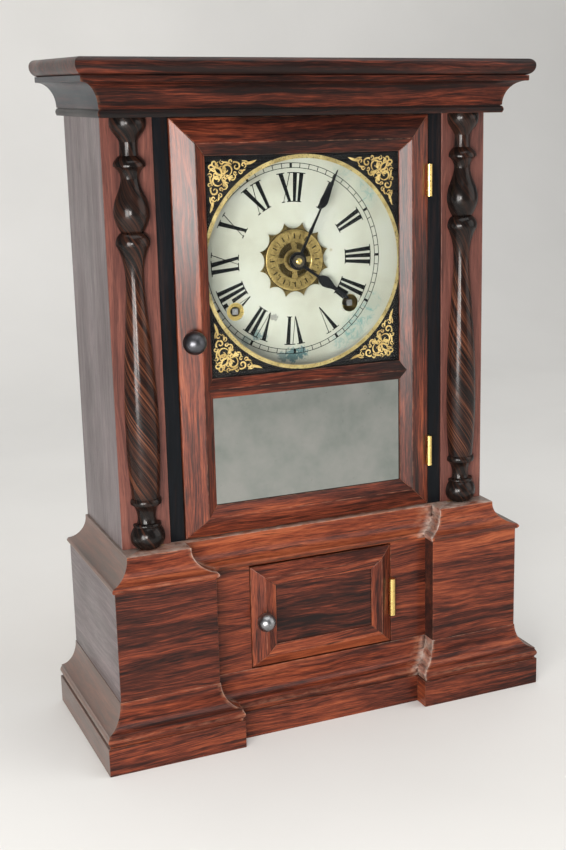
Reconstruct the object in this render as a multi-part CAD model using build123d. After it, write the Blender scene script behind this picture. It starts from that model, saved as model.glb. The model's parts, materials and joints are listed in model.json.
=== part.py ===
from build123d import *
import math
import os

# Column shelf clock. Millimetres, +Z up, the front faces -Y.
# The origin is the middle of the base's underside.

# Base, in plan
foot_width = 316.0
foot_depth = 128.0
foot_reach = 12.5
breakfront_half = 79.0
breakfront_depth = 12.0
base_board = 12.0
front_panel_board = 10.0
back_board = 7.0
floor_board = 10.0

# Base, in height
skirt_height = 19.0
groove_height = 1.5
groove_depth = 1.4
nose_height = 5.5
nose_fillet = 1.0
nose_swell = 1.2
foot_cove_rise = 16.2
die_height = 73.2
cap_bead_height = 3.5
cap_bead_reach = 2.0
cap_bead_swell = 1.0
cap_cove_rise = 13.3
ledge_setback = 12.0
ledge_edge = 1.5

# Upper case
case_side_setback = 13.5
case_height = 270.8
case_board = 12.0
column_board_width = 32.3
jamb_width = 10.1
jamb_recess = 1.0
jamb_board = 10.0

# Cornice and top
crown_side_reach = 5.1
crown_front_reach = 17.5
crown_bead_height = 5.0
crown_bead_swell = 0.8
crown_cove_rise = 15.5
crown_cove_reach = 12.0
crown_fillet = 3.5
top_board_thickness = 10.5
top_overhang = 3.3
top_edge_upper_radius = 4.0
top_edge_lower_radius = 6.0

# Split turned columns: heights above the ledge against diameters, one list per smooth stretch
column_inset = 17.0
column_stretches = [
    [(0.0, 13.8), (3.2, 20.4), (7.2, 22.6), (11.4, 21.0), (14.4, 17.4)],
    [(14.4, 17.6), (15.6, 18.4), (16.8, 17.4)],
    [(17.0, 13.0), (19.4, 11.9), (22.6, 12.1), (26.4, 14.4), (29.4, 19.4)],
    [(29.4, 19.9), (31.4, 20.3), (33.0, 19.2)],
    [(33.4, 17.9), (44.3, 19.7), (63.3, 21.4), (82.3, 21.6), (101.3, 20.6), (120.0, 18.6), (135.2, 16.4),
     (149.5, 14.2), (163.0, 12.2), (173.0, 11.7)],
    [(173.0, 11.7), (179.0, 12.4), (186.1, 15.4), (192.8, 21.2)],
    [(192.8, 21.2), (195.4, 21.4), (198.4, 19.2), (200.4, 15.6)],
    [(200.4, 13.8), (202.4, 16.4), (205.5, 19.3), (209.0, 21.8), (212.6, 22.6), (216.5, 21.8), (220.5, 19.6),
     (225.0, 15.6), (229.0, 12.9), (232.6, 11.4)],
    [(232.6, 11.4), (236.4, 13.0), (240.0, 19.8)],
    [(240.0, 20.0), (241.6, 19.9), (243.8, 17.6), (246.0, 13.2)],
    [(246.4, 11.7), (250.0, 11.2), (254.4, 11.3)],
    [(254.4, 11.3), (257.0, 14.0), (260.0, 18.6), (263.0, 21.8), (265.8, 22.6), (268.8, 21.8)],
]

# Upper door
door_side_gap = 0.4
door_end_gap = 0.7
stile_width = 21.9
top_rail_width = 23.4
bottom_rail_width = 20.4
mid_rail_low = 92.8
mid_rail_width = 13.1
mid_rail_rise = 3.0
ridge_share = 0.66
ridge_rise = 5.7
door_thickness = 10.0
rebate = 4.0
mid_rebate = 3.5
rebate_play = 0.2
lip_rise = 0.3
glass_inset = 1.0
glass_thickness = 2.0

# Base door
base_opening_half = 52.0
base_door_gap = 0.5
base_door_foot_gap = 0.9
base_door_head_gap = 1.5
base_stile_width = 16.3
base_top_width = 13.6
base_bottom_width = 15.6
base_ridge_share = 0.53
base_ridge_rise = 5.5
base_door_thickness = 8.0
base_panel_rise = 3.3
base_panel_thickness = 5.5
base_lip_rise = 1.1
base_rebate = 3.5

# Butt hinges
leaf_thickness = 1.0
leaf_depth = 9.0
knuckle_gap = 0.15
pin_play = 0.05
close_play = 0.02
door_knuckle_radius = 1.9
door_pin_radius = 0.9
door_pin_stand = 2.2
door_hinge_heights = (29.3, 216.4)
door_hinge_length = 21.2
base_knuckle_radius = 2.3
base_pin_radius = 1.1
base_pin_stand = 2.8
base_hinge_height = 21.0
base_hinge_length = 26.6
open_reach = 0.25

# Turning knobs and their latch tongues
spindle_radius = 2.0
spindle_play = 0.06
tongue_thickness = 1.4
tongue_half_width = 3.0
tongue_hub_radius = 4.0
tongue_play = 0.3
door_knob_inset = 7.2
door_knob_height = 132.5
door_knob_diameter = 15.0
door_knob_stand = 12.0
door_tongue_length = 16.0
base_knob_inset = 6.0
base_knob_diameter = 12.4
base_knob_stand = 12.5
base_tongue_length = 12.5
knob_neck_radius = 3.4

# Dial and hands
dial_height = 176.2
dial_back_from_case = 24.0
dial_half = 84.0
dial_thickness = 0.8
dial_hole_radius = 8.0
winding_offset = 41.5
winding_drop = 32.0
winding_hole_radius = 6.0
batten_inner = 74.0
dial_batten_depth = 10.0
dial_batten_overlap = 4.0
screw_radius = 0.8
screw_head_radius = 2.0
screw_head_height = 1.0
screw_length = 8.0
screw_inset = 5.0
hand_thickness = 0.8
minute_angle = 27.0
hour_angle = 126.0
minute_stand = 8.6
hour_stand = 4.4
alarm_stand = 1.7
minute_hub_radius = 6.0
hour_hub_radius = 4.6
nut_radius = 4.0
nut_height = 1.6
alarm_point_count = 12
alarm_tip_radius = 25.0
alarm_valley_radius = 20.9
alarm_thickness = 1.0
alarm_slot_inner = 6.4
alarm_slot_outer = 11.4
alarm_slot_count = 4
alarm_slot_sweep = 42.0
alarm_slot_start = 24.0

# Hand outlines: distance from the centre against half width
minute_outline = [(0.0, 1.1), (19.0, 0.8), (21.5, 1.3), (24.0, 0.9), (38.0, 0.5), (40.0, 2.2), (42.5, 2.9),
                  (46.5, 2.5), (56.0, 1.0), (65.5, 0.25)]
hour_outline = [(0.0, 1.3), (17.0, 0.9), (20.5, 0.9), (23.0, 2.8), (26.3, 3.8), (29.5, 3.0), (33.5, 1.5),
                (38.0, 0.9), (44.0, 1.2), (47.0, 0.5)]

# Movement frame
plate_half = 52.0
plate_top = 72.0
plate_bottom = 68.0
plate_thickness = 1.5
front_plate_stand = 12.0
plate_gap = 28.5
pendulum_room = 13.5
pillar_radius = 3.0
upper_pillar = (47.0, 64.0)
lower_pillar = (9.0, -62.0)
movement_batten_width = 12.0
movement_batten_rise = 9.0
movement_screw_rows = (-52.0, 52.0)

# Wheel work: addendum, dedendum and tooth widths as shares of the module or the pitch
tooth_addendum = 0.65
tooth_dedendum = 0.95
tooth_root_share = 0.40
tooth_tip_share = 0.16
running_play = 0.05
arbor_radius = 1.0
centre_arbor_radius = 1.5
winding_arbor_radius = 3.0
winding_square = 4.0
wheel_thickness = 1.5
great_thickness = 2.0
pinion_overlap = 0.5
great_teeth = 72
great_pinion_teeth = 8
great_module = 0.8
second_teeth = 84
second_module = 0.6
third_teeth = 84
third_module = 0.5
train_pinion_teeth = 7
drive_teeth = 40
centre_teeth = 32
drive_module = 0.8
cannon_teeth = 12
minute_teeth = 36
cannon_module = 0.75
minute_pinion_teeth = 10
hour_teeth = 40
hour_pipe_wall = 1.25
stud_radius = 1.2
stud_length = 7.0
minute_stud_angle = -60.0
escape_teeth = 36
escape_radius = 15.5
escape_tooth_depth = 2.6
third_angle = 60.0
pin_wheel_angle = 100.0
fly_angle = 75.0
fly_half_width = 11.0
fly_thickness = 0.8
fly_length = 13.0
lifting_pin_count = 6
lifting_pin_radius = 0.6
lifting_pin_circle = 12.0
spring_radius = 26.0
spring_inner = 6.0
spring_post_radius = 2.0
ratchet_teeth = 14
ratchet_radius = 9.0

# Levels of the wheels behind the front plate's back face
level_first = 2.5
level_drive = 6.0
level_great = 10.5
level_spring = 14.0
level_third = 16.5
level_escape = 23.5
spring_height = 12.5

# Verge and pendulum
verge_rise = 22.0
pallet_reach = 13.8
pallet_drop = 10.0
verge_arm = 1.2
crutch_length = 43.5
crutch_wall = 1.4
behind_plate_gap = 1.0
pendulum_length = 187.0
pendulum_behind_plate = 6.5
pendulum_rod_radius = 1.0
suspension_rise = 6.0
suspension_half = 3.0
bob_radius = 17.0
bob_thickness = 10.0
rating_nut_radius = 4.0
rating_nut_height = 3.0

# Strike work
bell_offset = 70.0
bell_drop = 124.0
bell_radius = 29.0
bell_depth = 16.0
bell_wall = 1.6
bell_rim_from_back = 7.0
bell_post_radius = 2.5
bell_nut_radius = 4.5
hammer_pivot = (18.0, -58.0)
hammer_head_radius = 4.5
hammer_gap = 0.6
hammer_arm = 1.5

# Plan lines
back_y = foot_depth / 2
die_half = foot_width / 2 - foot_reach
die_y = -foot_depth / 2 + foot_reach
recess_y = die_y + breakfront_depth
inner_back_y = back_y - back_board
case_half = die_half - case_side_setback
case_depth = (dial_back_from_case + front_plate_stand + 2 * plate_thickness + plate_gap + pendulum_room
              + back_board)
case_y = back_y - case_depth
case_inner_half = case_half - case_board
case_inner_y = case_y + case_board
cap_inset = die_half - case_inner_half
jamb_outer = case_half - column_board_width
jamb_inner = jamb_outer - jamb_width
jamb_y = case_y + jamb_recess
jamb_back_y = jamb_y + jamb_board

# Height lines
groove_top = skirt_height + groove_height
nose_top = groove_top + nose_height
foot_cove_low = nose_top + nose_fillet
die_low = foot_cove_low + foot_cove_rise
die_top = die_low + die_height
cap_bead_top = die_top + cap_bead_height
cap_cove_top = cap_bead_top + cap_cove_rise
ledge_z = cap_cove_top + ledge_edge
soffit_z = ledge_z + case_height
crown_bead_top = soffit_z + crown_bead_height
crown_cove_top = crown_bead_top + crown_cove_rise
crown_top = crown_cove_top + crown_fillet
top_z = crown_top + top_board_thickness
dial_z = ledge_z + dial_height
dial_y = case_y + dial_back_from_case

# Upper door lines
door_half = jamb_inner - door_side_gap
door_low = ledge_z + door_end_gap
door_high = soffit_z - door_end_gap
door_back_y = case_y + door_thickness
glass_y = case_y + glass_inset
opening_half = door_half - stile_width
mirror_low = door_low + bottom_rail_width
mid_low = ledge_z + mid_rail_low
mid_high = mid_low + mid_rail_width
glass_high = door_high - top_rail_width

# Base door lines
base_door_half = base_opening_half - base_door_gap
base_door_low = die_low + base_door_foot_gap
base_door_high = die_top - base_door_head_gap
base_door_back_y = recess_y + base_door_thickness
front_panel_back_y = recess_y + front_panel_board
base_panel_y = recess_y - base_panel_rise
base_knob_z = (base_door_low + base_door_high) / 2

# Movement lines
front_plate_y = dial_y + front_plate_stand
wheel_y = front_plate_y + plate_thickness
back_plate_y = wheel_y + plate_gap
back_plate_back = back_plate_y + plate_thickness
pendulum_y = back_plate_back + pendulum_behind_plate
winding_z = dial_z - winding_drop
hour_pipe_inner = centre_arbor_radius + running_play
hour_pipe_radius = hour_pipe_inner + hour_pipe_wall


def prism(points, low, high):
    """Upright solid on an outline in plan."""
    outline = make_face(Polyline(*points, close=True))
    return Pos(0, 0, low) * extrude(outline, amount=high - low)


def slab(points, front, back):
    """Solid on an outline seen from the front (x, z), between two depths."""
    outline = make_face(Polyline(*points, close=True))
    return Pos(0, back, 0) * extrude(Plane.XZ * outline, amount=back - front)


def beam(points, left, right):
    """Solid on an outline seen from the side (y, z), between two sides."""
    outline = make_face(Polyline(*points, close=True))
    return Pos(left, 0, 0) * extrude(Plane.YZ * outline, amount=right - left)


def board(left, right, front, back, low, high):
    """Square-cut board between six planes."""
    place = Pos((left + right) / 2, (front + back) / 2, (low + high) / 2)
    return place * Box(right - left, back - front, high - low)


def rod(x, z, radius, front, back):
    """Round bar that runs from front to back."""
    return Pos(x, (front + back) / 2, z) * Rot(90, 0, 0) * Cylinder(radius, back - front)


def post(x, y, radius, low, high):
    """Round upright bar."""
    return Pos(x, y, (low + high) / 2) * Cylinder(radius, high - low)


def both_sides(solid):
    """A solid and its mirror image on the other side of the clock."""
    return [solid, mirror(solid, about=Plane.YZ)]


def cove(corner, width, rise, first_angle):
    """Hollow quarter curve, part of an ellipse about a corner outside the wood."""
    return EllipticalCenterArc(corner, width, rise, first_angle, arc_size=90)


def mitred_run(profile, path, reach_low, reach_high, low, high):
    """Lengths of one moulding along a plan path, mitred at the path's corners.

    The profile is drawn as reach outside the path against height.
    """
    spare = 1.0
    inner = reach_low - spare
    outer = reach_high + spare
    points = [Vector(*point) for point in path]
    along = [(b - a).normalized() for a, b in zip(points, points[1:])]
    turns = [0.0] + [a.X * b.Y - a.Y * b.X for a, b in zip(along, along[1:])] + [0.0]
    lengths = []
    for index, direction in enumerate(along):
        start, end = points[index], points[index + 1]
        outward = Vector(direction.Y, -direction.X)
        slack = abs(inner) + abs(outer)
        section = Plane(origin=end + direction * slack, x_dir=outward, z_dir=direction * -1)
        bar = extrude(section * profile, amount=(end - start).length + 2 * slack)
        wedge = [start + outward * r - direction * (turns[index] * r) for r in (inner, outer)]
        wedge += [end + outward * r + direction * (turns[index + 1] * r) for r in (outer, inner)]
        lengths.append(bar & prism([(p.X, p.Y) for p in wedge], low - spare, high + spare))
    return lengths


def base_path():
    """Plan line of the die: left side, pedestal, recess, pedestal, right side."""
    half = [(die_half, back_y), (die_half, die_y), (breakfront_half, die_y), (breakfront_half, recess_y)]
    return [(-x, y) for x, y in half] + half[::-1]


def make_base():
    inner_half = die_half - base_board
    side = prism([(-die_half, die_y), (-inner_half, die_y + base_board), (-inner_half, back_y),
                  (-die_half, back_y)], 0, die_top)
    pedestal = prism([(-die_half, die_y), (-breakfront_half, die_y), (-breakfront_half, recess_y),
                      (-die_half + breakfront_depth, recess_y)], 0, die_top)
    panel = board(-inner_half, -base_opening_half, recess_y, front_panel_back_y, 0, die_top)
    rail = board(-base_opening_half, base_opening_half, recess_y, front_panel_back_y, 0, die_low)

    skirt_profile = Pos(foot_reach / 2, skirt_height / 2) * Rectangle(foot_reach, skirt_height)

    nose = foot_reach - nose_swell
    foot_outline = [
        Polyline((0, die_low), (0, skirt_height), (foot_reach - groove_depth, skirt_height),
                 (foot_reach - groove_depth, groove_top), (nose, groove_top)),
        ThreePointArc((nose, groove_top), (foot_reach, (groove_top + nose_top) / 2), (nose, nose_top)),
        Line((nose, nose_top), (nose, foot_cove_low)),
        cove((nose, die_low), nose, foot_cove_rise, 180),
    ]

    bead = cap_bead_reach - cap_bead_swell
    cap_outline = [
        Polyline((bead, die_top), (-cap_inset, die_top), (-cap_inset, ledge_z), (-ledge_setback, ledge_z),
                 (-ledge_setback, cap_cove_top)),
        cove((bead, cap_cove_top), bead + ledge_setback, cap_cove_rise, 180),
        ThreePointArc((bead, cap_bead_top), (cap_bead_reach, (die_top + cap_bead_top) / 2),
                      (bead, die_top)),
    ]

    path = base_path()
    skirt = mitred_run(skirt_profile, path, 0, foot_reach, 0, skirt_height)
    foot = mitred_run(make_face(foot_outline), path, 0, foot_reach, skirt_height, die_low)
    cap = mitred_run(make_face(cap_outline), path, -cap_inset, cap_bead_reach, die_top, ledge_z)
    ledge = [(-case_inner_half, inner_back_y)]
    ledge += [(-case_inner_half, die_y + cap_inset), (-breakfront_half - cap_inset, die_y + cap_inset)]
    ledge += [(-breakfront_half - cap_inset, recess_y + cap_inset)]
    ledge += [(-x, y) for x, y in reversed(ledge)]
    return {
        "base_sides": both_sides(side),
        "pedestal_fronts": both_sides(pedestal),
        "base_front": both_sides(panel) + [rail],
        "base_back": [board(-inner_half, inner_half, inner_back_y, back_y, 0, die_top)],
        "base_floor": [board(-inner_half, inner_half, front_panel_back_y, inner_back_y, 0, floor_board)],
        "skirt": skirt,
        "foot_moulding": foot,
        "cap_moulding": cap,
        "case_floor": [prism(ledge, ledge_z - floor_board, ledge_z)],
    }


def make_column():
    """Half of a turning, flat side to the rear, its foot at the origin."""
    edges = []
    last = (0.0, 0.0)
    height_scale = case_height / column_stretches[-1][-1][0]
    for stretch in column_stretches:
        points = [(diameter / 2, height * height_scale) for height, diameter in stretch]
        if points[0] != last:
            edges.append(Line(last, points[0]))
        edges.append(Spline(*points) if len(points) > 2 else Line(*points))
        last = points[-1]
    edges.append(Polyline(last, (0.0, last[1]), (0.0, 0.0)))
    half_section = Plane.XZ * make_face(edges)
    return Rot(0, 0, 180) * revolve(half_section, Axis.Z, 180)


def make_case():
    side = prism([(-case_half, case_y), (-case_inner_half, case_inner_y), (-case_inner_half, back_y),
                  (-case_half, back_y)], ledge_z, crown_top)
    column_board = prism([(-case_half, case_y), (-jamb_outer, case_y), (-jamb_outer, case_inner_y),
                          (-case_inner_half, case_inner_y)], ledge_z, crown_top)
    jamb = board(-jamb_outer, -jamb_inner, jamb_y, jamb_back_y, ledge_z, soffit_z)
    top_rail = board(-jamb_outer, jamb_outer, case_y, case_inner_y, soffit_z, crown_top)

    cove_corner = crown_cove_reach - crown_bead_swell
    crown_outline = [
        Polyline((-crown_bead_swell, soffit_z), (-crown_side_reach, soffit_z),
                 (-crown_side_reach, crown_top), (crown_cove_reach, crown_top),
                 (crown_cove_reach, crown_cove_top), (cove_corner, crown_cove_top)),
        cove((cove_corner, crown_bead_top), crown_cove_reach, crown_cove_rise, 90),
        ThreePointArc((-crown_bead_swell, crown_bead_top), (0, (soffit_z + crown_bead_top) / 2),
                      (-crown_bead_swell, soffit_z)),
    ]
    crown_half = case_half + crown_side_reach
    crown_y = case_y - crown_front_reach
    crown_path = [(-crown_half, back_y), (-crown_half, crown_y), (crown_half, crown_y),
                  (crown_half, back_y)]
    crown = mitred_run(make_face(crown_outline), crown_path, -crown_side_reach, crown_cove_reach,
                       soffit_z, crown_top)
    frieze = board(-case_half, case_half, crown_y + crown_side_reach, case_y, soffit_z, crown_top)

    top_half = crown_half + crown_cove_reach + top_overhang
    top_y = crown_y - crown_cove_reach - top_overhang
    top = board(-top_half, top_half, top_y, back_y, crown_top, top_z)
    for level, radius in ((top_z, top_edge_upper_radius), (crown_top, top_edge_lower_radius)):
        rim = [edge for edge in top.edges()
               if abs(edge.center().Z - level) < 1e-3 and edge.center().Y < back_y - 1e-3]
        top = fillet(rim, radius)

    column = make_column()
    column_x = case_half - column_inset
    return {
        "case_sides": both_sides(side),
        "case_front_frame": both_sides(column_board) + [top_rail],
        "door_jambs": both_sides(jamb),
        "case_back": [board(-case_inner_half, case_inner_half, inner_back_y, back_y, die_top, crown_top)],
        "cornice_crown": crown,
        "cornice_frieze": [frieze],
        "top_board": [top],
        "left_column": [Pos(-column_x, case_y, ledge_z) * column],
        "right_column": [Pos(column_x, case_y, ledge_z) * column],
    }


def mitred_frame(half, low, high, stile, head, foot, section):
    """Left and right stile, head and foot of a frame, with mitred corners.

    The section function gives a bar's outline for its width, as distance from the outer edge and depth.
    """
    opening = half - stile
    reach = 100.0
    upright = [(-half, low), (-half, high), (-opening, high - head), (-opening, low + foot)]
    level_head = [(-half, high), (half, high), (opening, high - head), (-opening, high - head)]
    level_foot = [(-half, low), (half, low), (opening, low + foot), (-opening, low + foot)]
    left = prism([(-half + u, y) for u, y in section(stile)], low, high) & slab(upright, -reach, reach)
    top = beam([(y, high - u) for u, y in section(head)], -half, half) & slab(level_head, -reach, reach)
    bottom = beam([(y, low + u) for u, y in section(foot)], -half, half) & slab(level_foot, -reach, reach)
    return left, mirror(left, about=Plane.YZ), top, bottom


def make_hinge(door_edge, case_edge, face_y, stand, low, length, knuckle, pin):
    """Case leaf, door leaf, pin and the recesses that the two leaves lie in."""
    axis_x = (door_edge + case_edge) / 2
    axis_y = face_y - stand
    plate_front = axis_y + knuckle + open_reach
    plate_back = face_y + leaf_depth
    third = length / 3
    high = low + length

    def barrel(start, end, hole):
        ring = post(axis_x, axis_y, knuckle, start, end)
        return ring - post(axis_x, axis_y, hole, start, end)

    def leaf(left, right, spans, hole):
        solid = board(left, right, plate_front, plate_back, low, high)
        for start, end in spans:
            arm = board(left, right, axis_y, plate_front, start, end)
            solid += arm - post(axis_x, axis_y, knuckle - leaf_thickness / 2, start, end)
            solid += barrel(start, end, hole)
        return solid

    case_spans = [(low, low + third - knuckle_gap), (high - third + knuckle_gap, high)]
    door_span = [(low + third, high - third)]
    case_leaf = leaf(case_edge, case_edge + leaf_thickness, case_spans, pin + close_play)
    door_leaf = leaf(door_edge - leaf_thickness, door_edge, door_span, pin + pin_play)
    axle = post(axis_x, axis_y, pin, low, high)
    case_recess = board(case_edge, case_edge + leaf_thickness, axis_y, plate_back, low, high)
    door_recess = board(door_edge - leaf_thickness, door_edge, axis_y, plate_back, low, high)
    return case_leaf, door_leaf, axle, case_recess, door_recess


def make_knob(x, z, surface_y, ball_y, diameter, inner_end):
    """Turned knob with its neck, which stops at the wood's surface, and its spindle."""
    knob = Pos(x, ball_y, z) * Sphere(diameter / 2)
    knob += rod(x, z, knob_neck_radius, ball_y, surface_y)
    return knob + rod(x, z, spindle_radius, ball_y, inner_end)


def make_tongue(x, z, hub_front, blade_front, length):
    """Latch tongue that hangs from its hub on the spindle's inner end."""
    blade_back = blade_front + tongue_thickness
    tongue = rod(x, z, tongue_hub_radius, hub_front, blade_back)
    tongue += board(x - tongue_half_width, x + tongue_half_width, blade_front, blade_back, z - length, z)
    return tongue - rod(x, z, spindle_radius + close_play, hub_front, blade_back)


def make_upper_door(case):
    lip_y = case_y - lip_rise

    def section(width):
        return [(0, case_y), (width * ridge_share, case_y - ridge_rise), (width, lip_y), (width, glass_y),
                (width - rebate, glass_y), (width - rebate, door_back_y), (0, door_back_y)]

    left, right, head, foot = mitred_frame(door_half, door_low, door_high, stile_width, top_rail_width,
                                           bottom_rail_width, section)
    middle = (mid_low + mid_high) / 2
    mid_section = [
        (lip_y, mid_low), (lip_y - mid_rail_rise, middle), (lip_y, mid_high), (glass_y, mid_high),
        (glass_y, mid_high - mid_rebate), (door_back_y, mid_high - mid_rebate),
        (door_back_y, mid_low + mid_rebate), (glass_y, mid_low + mid_rebate), (glass_y, mid_low),
    ]
    mid_rail = beam(mid_section, -opening_half - rebate, opening_half + rebate) - left - right

    knob_x = -door_half + door_knob_inset
    knob_z = ledge_z + door_knob_height
    left -= rod(knob_x, knob_z, spindle_radius + spindle_play, case_y - ridge_rise, door_back_y)
    slope_y = case_y - ridge_rise * (door_knob_inset + knob_neck_radius) / (stile_width * ridge_share)
    tongue_front = max(door_back_y, jamb_back_y) + tongue_play
    tongue_back = tongue_front + tongue_thickness
    knob = make_knob(knob_x, knob_z, slope_y - tongue_play, case_y - door_knob_stand,
                     door_knob_diameter, tongue_back)
    tongue = make_tongue(knob_x, knob_z, door_back_y + tongue_play / 2, tongue_front, door_tongue_length)

    case_leaves, door_leaves, pins = [], [], []
    for height in door_hinge_heights:
        case_leaf, door_leaf, pin, case_recess, door_recess = make_hinge(
            door_half, jamb_inner, case_y, door_pin_stand, ledge_z + height, door_hinge_length,
            door_knuckle_radius, door_pin_radius)
        case_leaves.append(case_leaf)
        door_leaves.append(door_leaf)
        pins.append(pin)
        case["door_jambs"][1] -= case_recess
        right -= door_recess

    pane_half = opening_half + rebate - rebate_play
    pane_back = glass_y + glass_thickness
    glass = board(-pane_half, pane_half, glass_y, pane_back, mid_high - mid_rebate + rebate_play,
                  glass_high + rebate - rebate_play)
    mirror_pane = board(-pane_half, pane_half, glass_y, pane_back, mirror_low - rebate + rebate_play,
                        mid_low + mid_rebate - rebate_play)
    nodes = {
        "door_stiles": [left, right],
        "door_rails": [head, mid_rail, foot],
        "dial_glass": [glass],
        "mirror": [mirror_pane],
        "door_knob": [knob],
        "door_latch": [tongue],
        "door_hinge_leaves": door_leaves,
    }
    return nodes, case_leaves, pins


def make_base_door(base):
    def section(width):
        return [(0, recess_y), (width * base_ridge_share, recess_y - base_ridge_rise),
                (width, base_panel_y - base_lip_rise), (width, base_panel_y),
                (width - base_rebate, base_panel_y), (width - base_rebate, base_door_back_y),
                (0, base_door_back_y)]

    left, right, head, foot = mitred_frame(base_door_half, base_door_low, base_door_high, base_stile_width,
                                           base_top_width, base_bottom_width, section)
    panel_half = base_door_half - base_stile_width + base_rebate - rebate_play
    panel = board(-panel_half, panel_half, base_panel_y, base_panel_y + base_panel_thickness,
                  base_door_low + base_bottom_width - base_rebate + rebate_play,
                  base_door_high - base_top_width + base_rebate - rebate_play)

    knob_x = -base_door_half + base_knob_inset
    slope_y = recess_y - base_ridge_rise
    left -= rod(knob_x, base_knob_z, spindle_radius + spindle_play, slope_y, base_door_back_y)
    tongue_front = max(base_door_back_y, front_panel_back_y) + tongue_play
    tongue_back = tongue_front + tongue_thickness
    knob = make_knob(knob_x, base_knob_z, slope_y - tongue_play, recess_y - base_knob_stand,
                     base_knob_diameter, tongue_back)
    tongue = make_tongue(knob_x, base_knob_z, base_door_back_y + tongue_play / 2, tongue_front,
                         base_tongue_length)

    case_leaf, door_leaf, pin, case_recess, door_recess = make_hinge(
        base_door_half, base_opening_half, recess_y, base_pin_stand, die_low + base_hinge_height,
        base_hinge_length, base_knuckle_radius, base_pin_radius)
    base["base_front"][1] -= case_recess
    right -= door_recess
    nodes = {
        "base_door_frame": [left, right, head, foot],
        "base_door_panel": [panel],
        "base_door_knob": [knob, tongue],
        "base_door_hinge_leaf": [door_leaf],
    }
    return nodes, case_leaf, pin


def make_hand(outline, hub_radius, bore, angle, front):
    """Flat hand that points up and is then turned clockwise."""
    right = [(half, reach) for reach, half in outline]
    left = [(-half, reach) for reach, half in reversed(outline)]
    hand = slab(right + left, front, front + hand_thickness)
    hand += rod(0, 0, hub_radius, front, front + hand_thickness)
    hand -= rod(0, 0, bore, front, front + hand_thickness)
    return Pos(0, 0, dial_z) * Rot(0, angle, 0) * hand


def make_alarm_disc():
    """Star-edged setting disc with curved windows, on a hub that turns on the hour pipe."""
    pitch = 2 * math.pi / alarm_point_count
    edges = []
    for index in range(alarm_point_count):
        valley = index * pitch
        corners = [(alarm_tip_radius, valley - pitch / 2), (alarm_valley_radius, valley),
                   (alarm_tip_radius, valley + pitch / 2)]
        edges.append(ThreePointArc(*[(r * math.sin(a), r * math.cos(a)) for r, a in corners]))
    front = dial_y - alarm_stand - alarm_thickness
    disc = Pos(0, front + alarm_thickness, 0) * extrude(Plane.XZ * make_face(edges), amount=alarm_thickness)
    middle = (alarm_slot_inner + alarm_slot_outer) / 2
    width = alarm_slot_outer - alarm_slot_inner
    for index in range(alarm_slot_count):
        window_angle = 360 / alarm_slot_count * index + alarm_slot_start
        window = SlotArc(CenterArc((0, 0), middle, window_angle, alarm_slot_sweep), width)
        disc -= Pos(0, front + alarm_thickness, 0) * extrude(Plane.XZ * window, amount=alarm_thickness)
    disc += rod(0, 0, hour_hub_radius, front, dial_y - alarm_stand / 2)
    disc -= rod(0, 0, hour_pipe_radius + running_play, front, dial_y)
    return Pos(0, 0, dial_z) * disc


def make_dial():
    dial_back = dial_y + dial_thickness
    plate = board(-dial_half, dial_half, dial_y, dial_back, dial_z - dial_half, dial_z + dial_half)
    plate -= rod(0, dial_z, dial_hole_radius, dial_y, dial_back)
    batten = board(-case_inner_half, -batten_inner, dial_back, dial_back + dial_batten_depth,
                   dial_z - dial_half - dial_batten_overlap, dial_z + dial_half + dial_batten_overlap)
    screws = []
    screw_reach = dial_half - screw_inset
    for x in (-screw_reach, screw_reach):
        plate -= rod(math.copysign(winding_offset, x), winding_z, winding_hole_radius, dial_y, dial_back)
        for z in (dial_z - screw_reach, dial_z + screw_reach):
            screw = rod(x, z, screw_radius, dial_y, dial_y + screw_length)
            screws.append(screw + rod(x, z, screw_head_radius, dial_y - screw_head_height, dial_y))
            hole = rod(x, z, screw_radius + close_play, dial_y, dial_y + screw_length)
            plate -= hole
            if x < 0:
                batten -= hole

    minute_front = dial_y - minute_stand - hand_thickness
    bore = centre_arbor_radius + close_play
    nut = rod(0, dial_z, nut_radius, minute_front - nut_height, minute_front)
    nut -= rod(0, dial_z, bore, minute_front - nut_height, minute_front)
    hour_front = dial_y - hour_stand - hand_thickness
    minute_hand = make_hand(minute_outline, minute_hub_radius, bore, minute_angle, minute_front)
    hour_bore = hour_pipe_radius + close_play
    hour_hand = make_hand(hour_outline, hour_hub_radius, hour_bore, hour_angle, hour_front)
    nodes = {
        "dial_plate": [plate],
        "minute_hand": [minute_hand],
        "hour_hand": [hour_hand],
        "hand_nut": [nut],
        "alarm_disc": [make_alarm_disc()],
    }
    return nodes, both_sides(batten), screws


def toothed(teeth, module, phase, front, thickness):
    """Toothed disc about the Y axis; the phase is one tooth's angle from +X towards +Z."""
    pitch = 2 * math.pi / teeth
    radius = module * teeth / 2
    tip = radius + tooth_addendum * module
    root = radius - tooth_dedendum * module
    corners = [(root, -tooth_root_share / 2), (tip, -tooth_tip_share / 2),
               (tip, tooth_tip_share / 2), (root, tooth_root_share / 2)]
    points = []
    for index in range(teeth):
        for reach, share in corners:
            angle = phase + (index + share) * pitch
            points.append((reach * math.cos(angle), reach * math.sin(angle)))
    return slab(points, front, front + thickness)


def mesh_phase(phase, teeth, other_teeth, bearing):
    """Phase of a wheel that lies at a bearing from another and is in mesh with it."""
    return bearing + math.pi - (phase - bearing) * teeth / other_teeth + math.pi / other_teeth


def bearing_of(start, end):
    return math.atan2(end[1] - start[1], end[0] - start[0])


def step(start, distance, degrees):
    """Point at a distance and bearing from another."""
    angle = math.radians(degrees)
    return (start[0] + distance * math.cos(angle), start[1] + distance * math.sin(angle))


def pitch_distance(module, teeth, other_teeth):
    return module * (teeth + other_teeth) / 2


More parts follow.
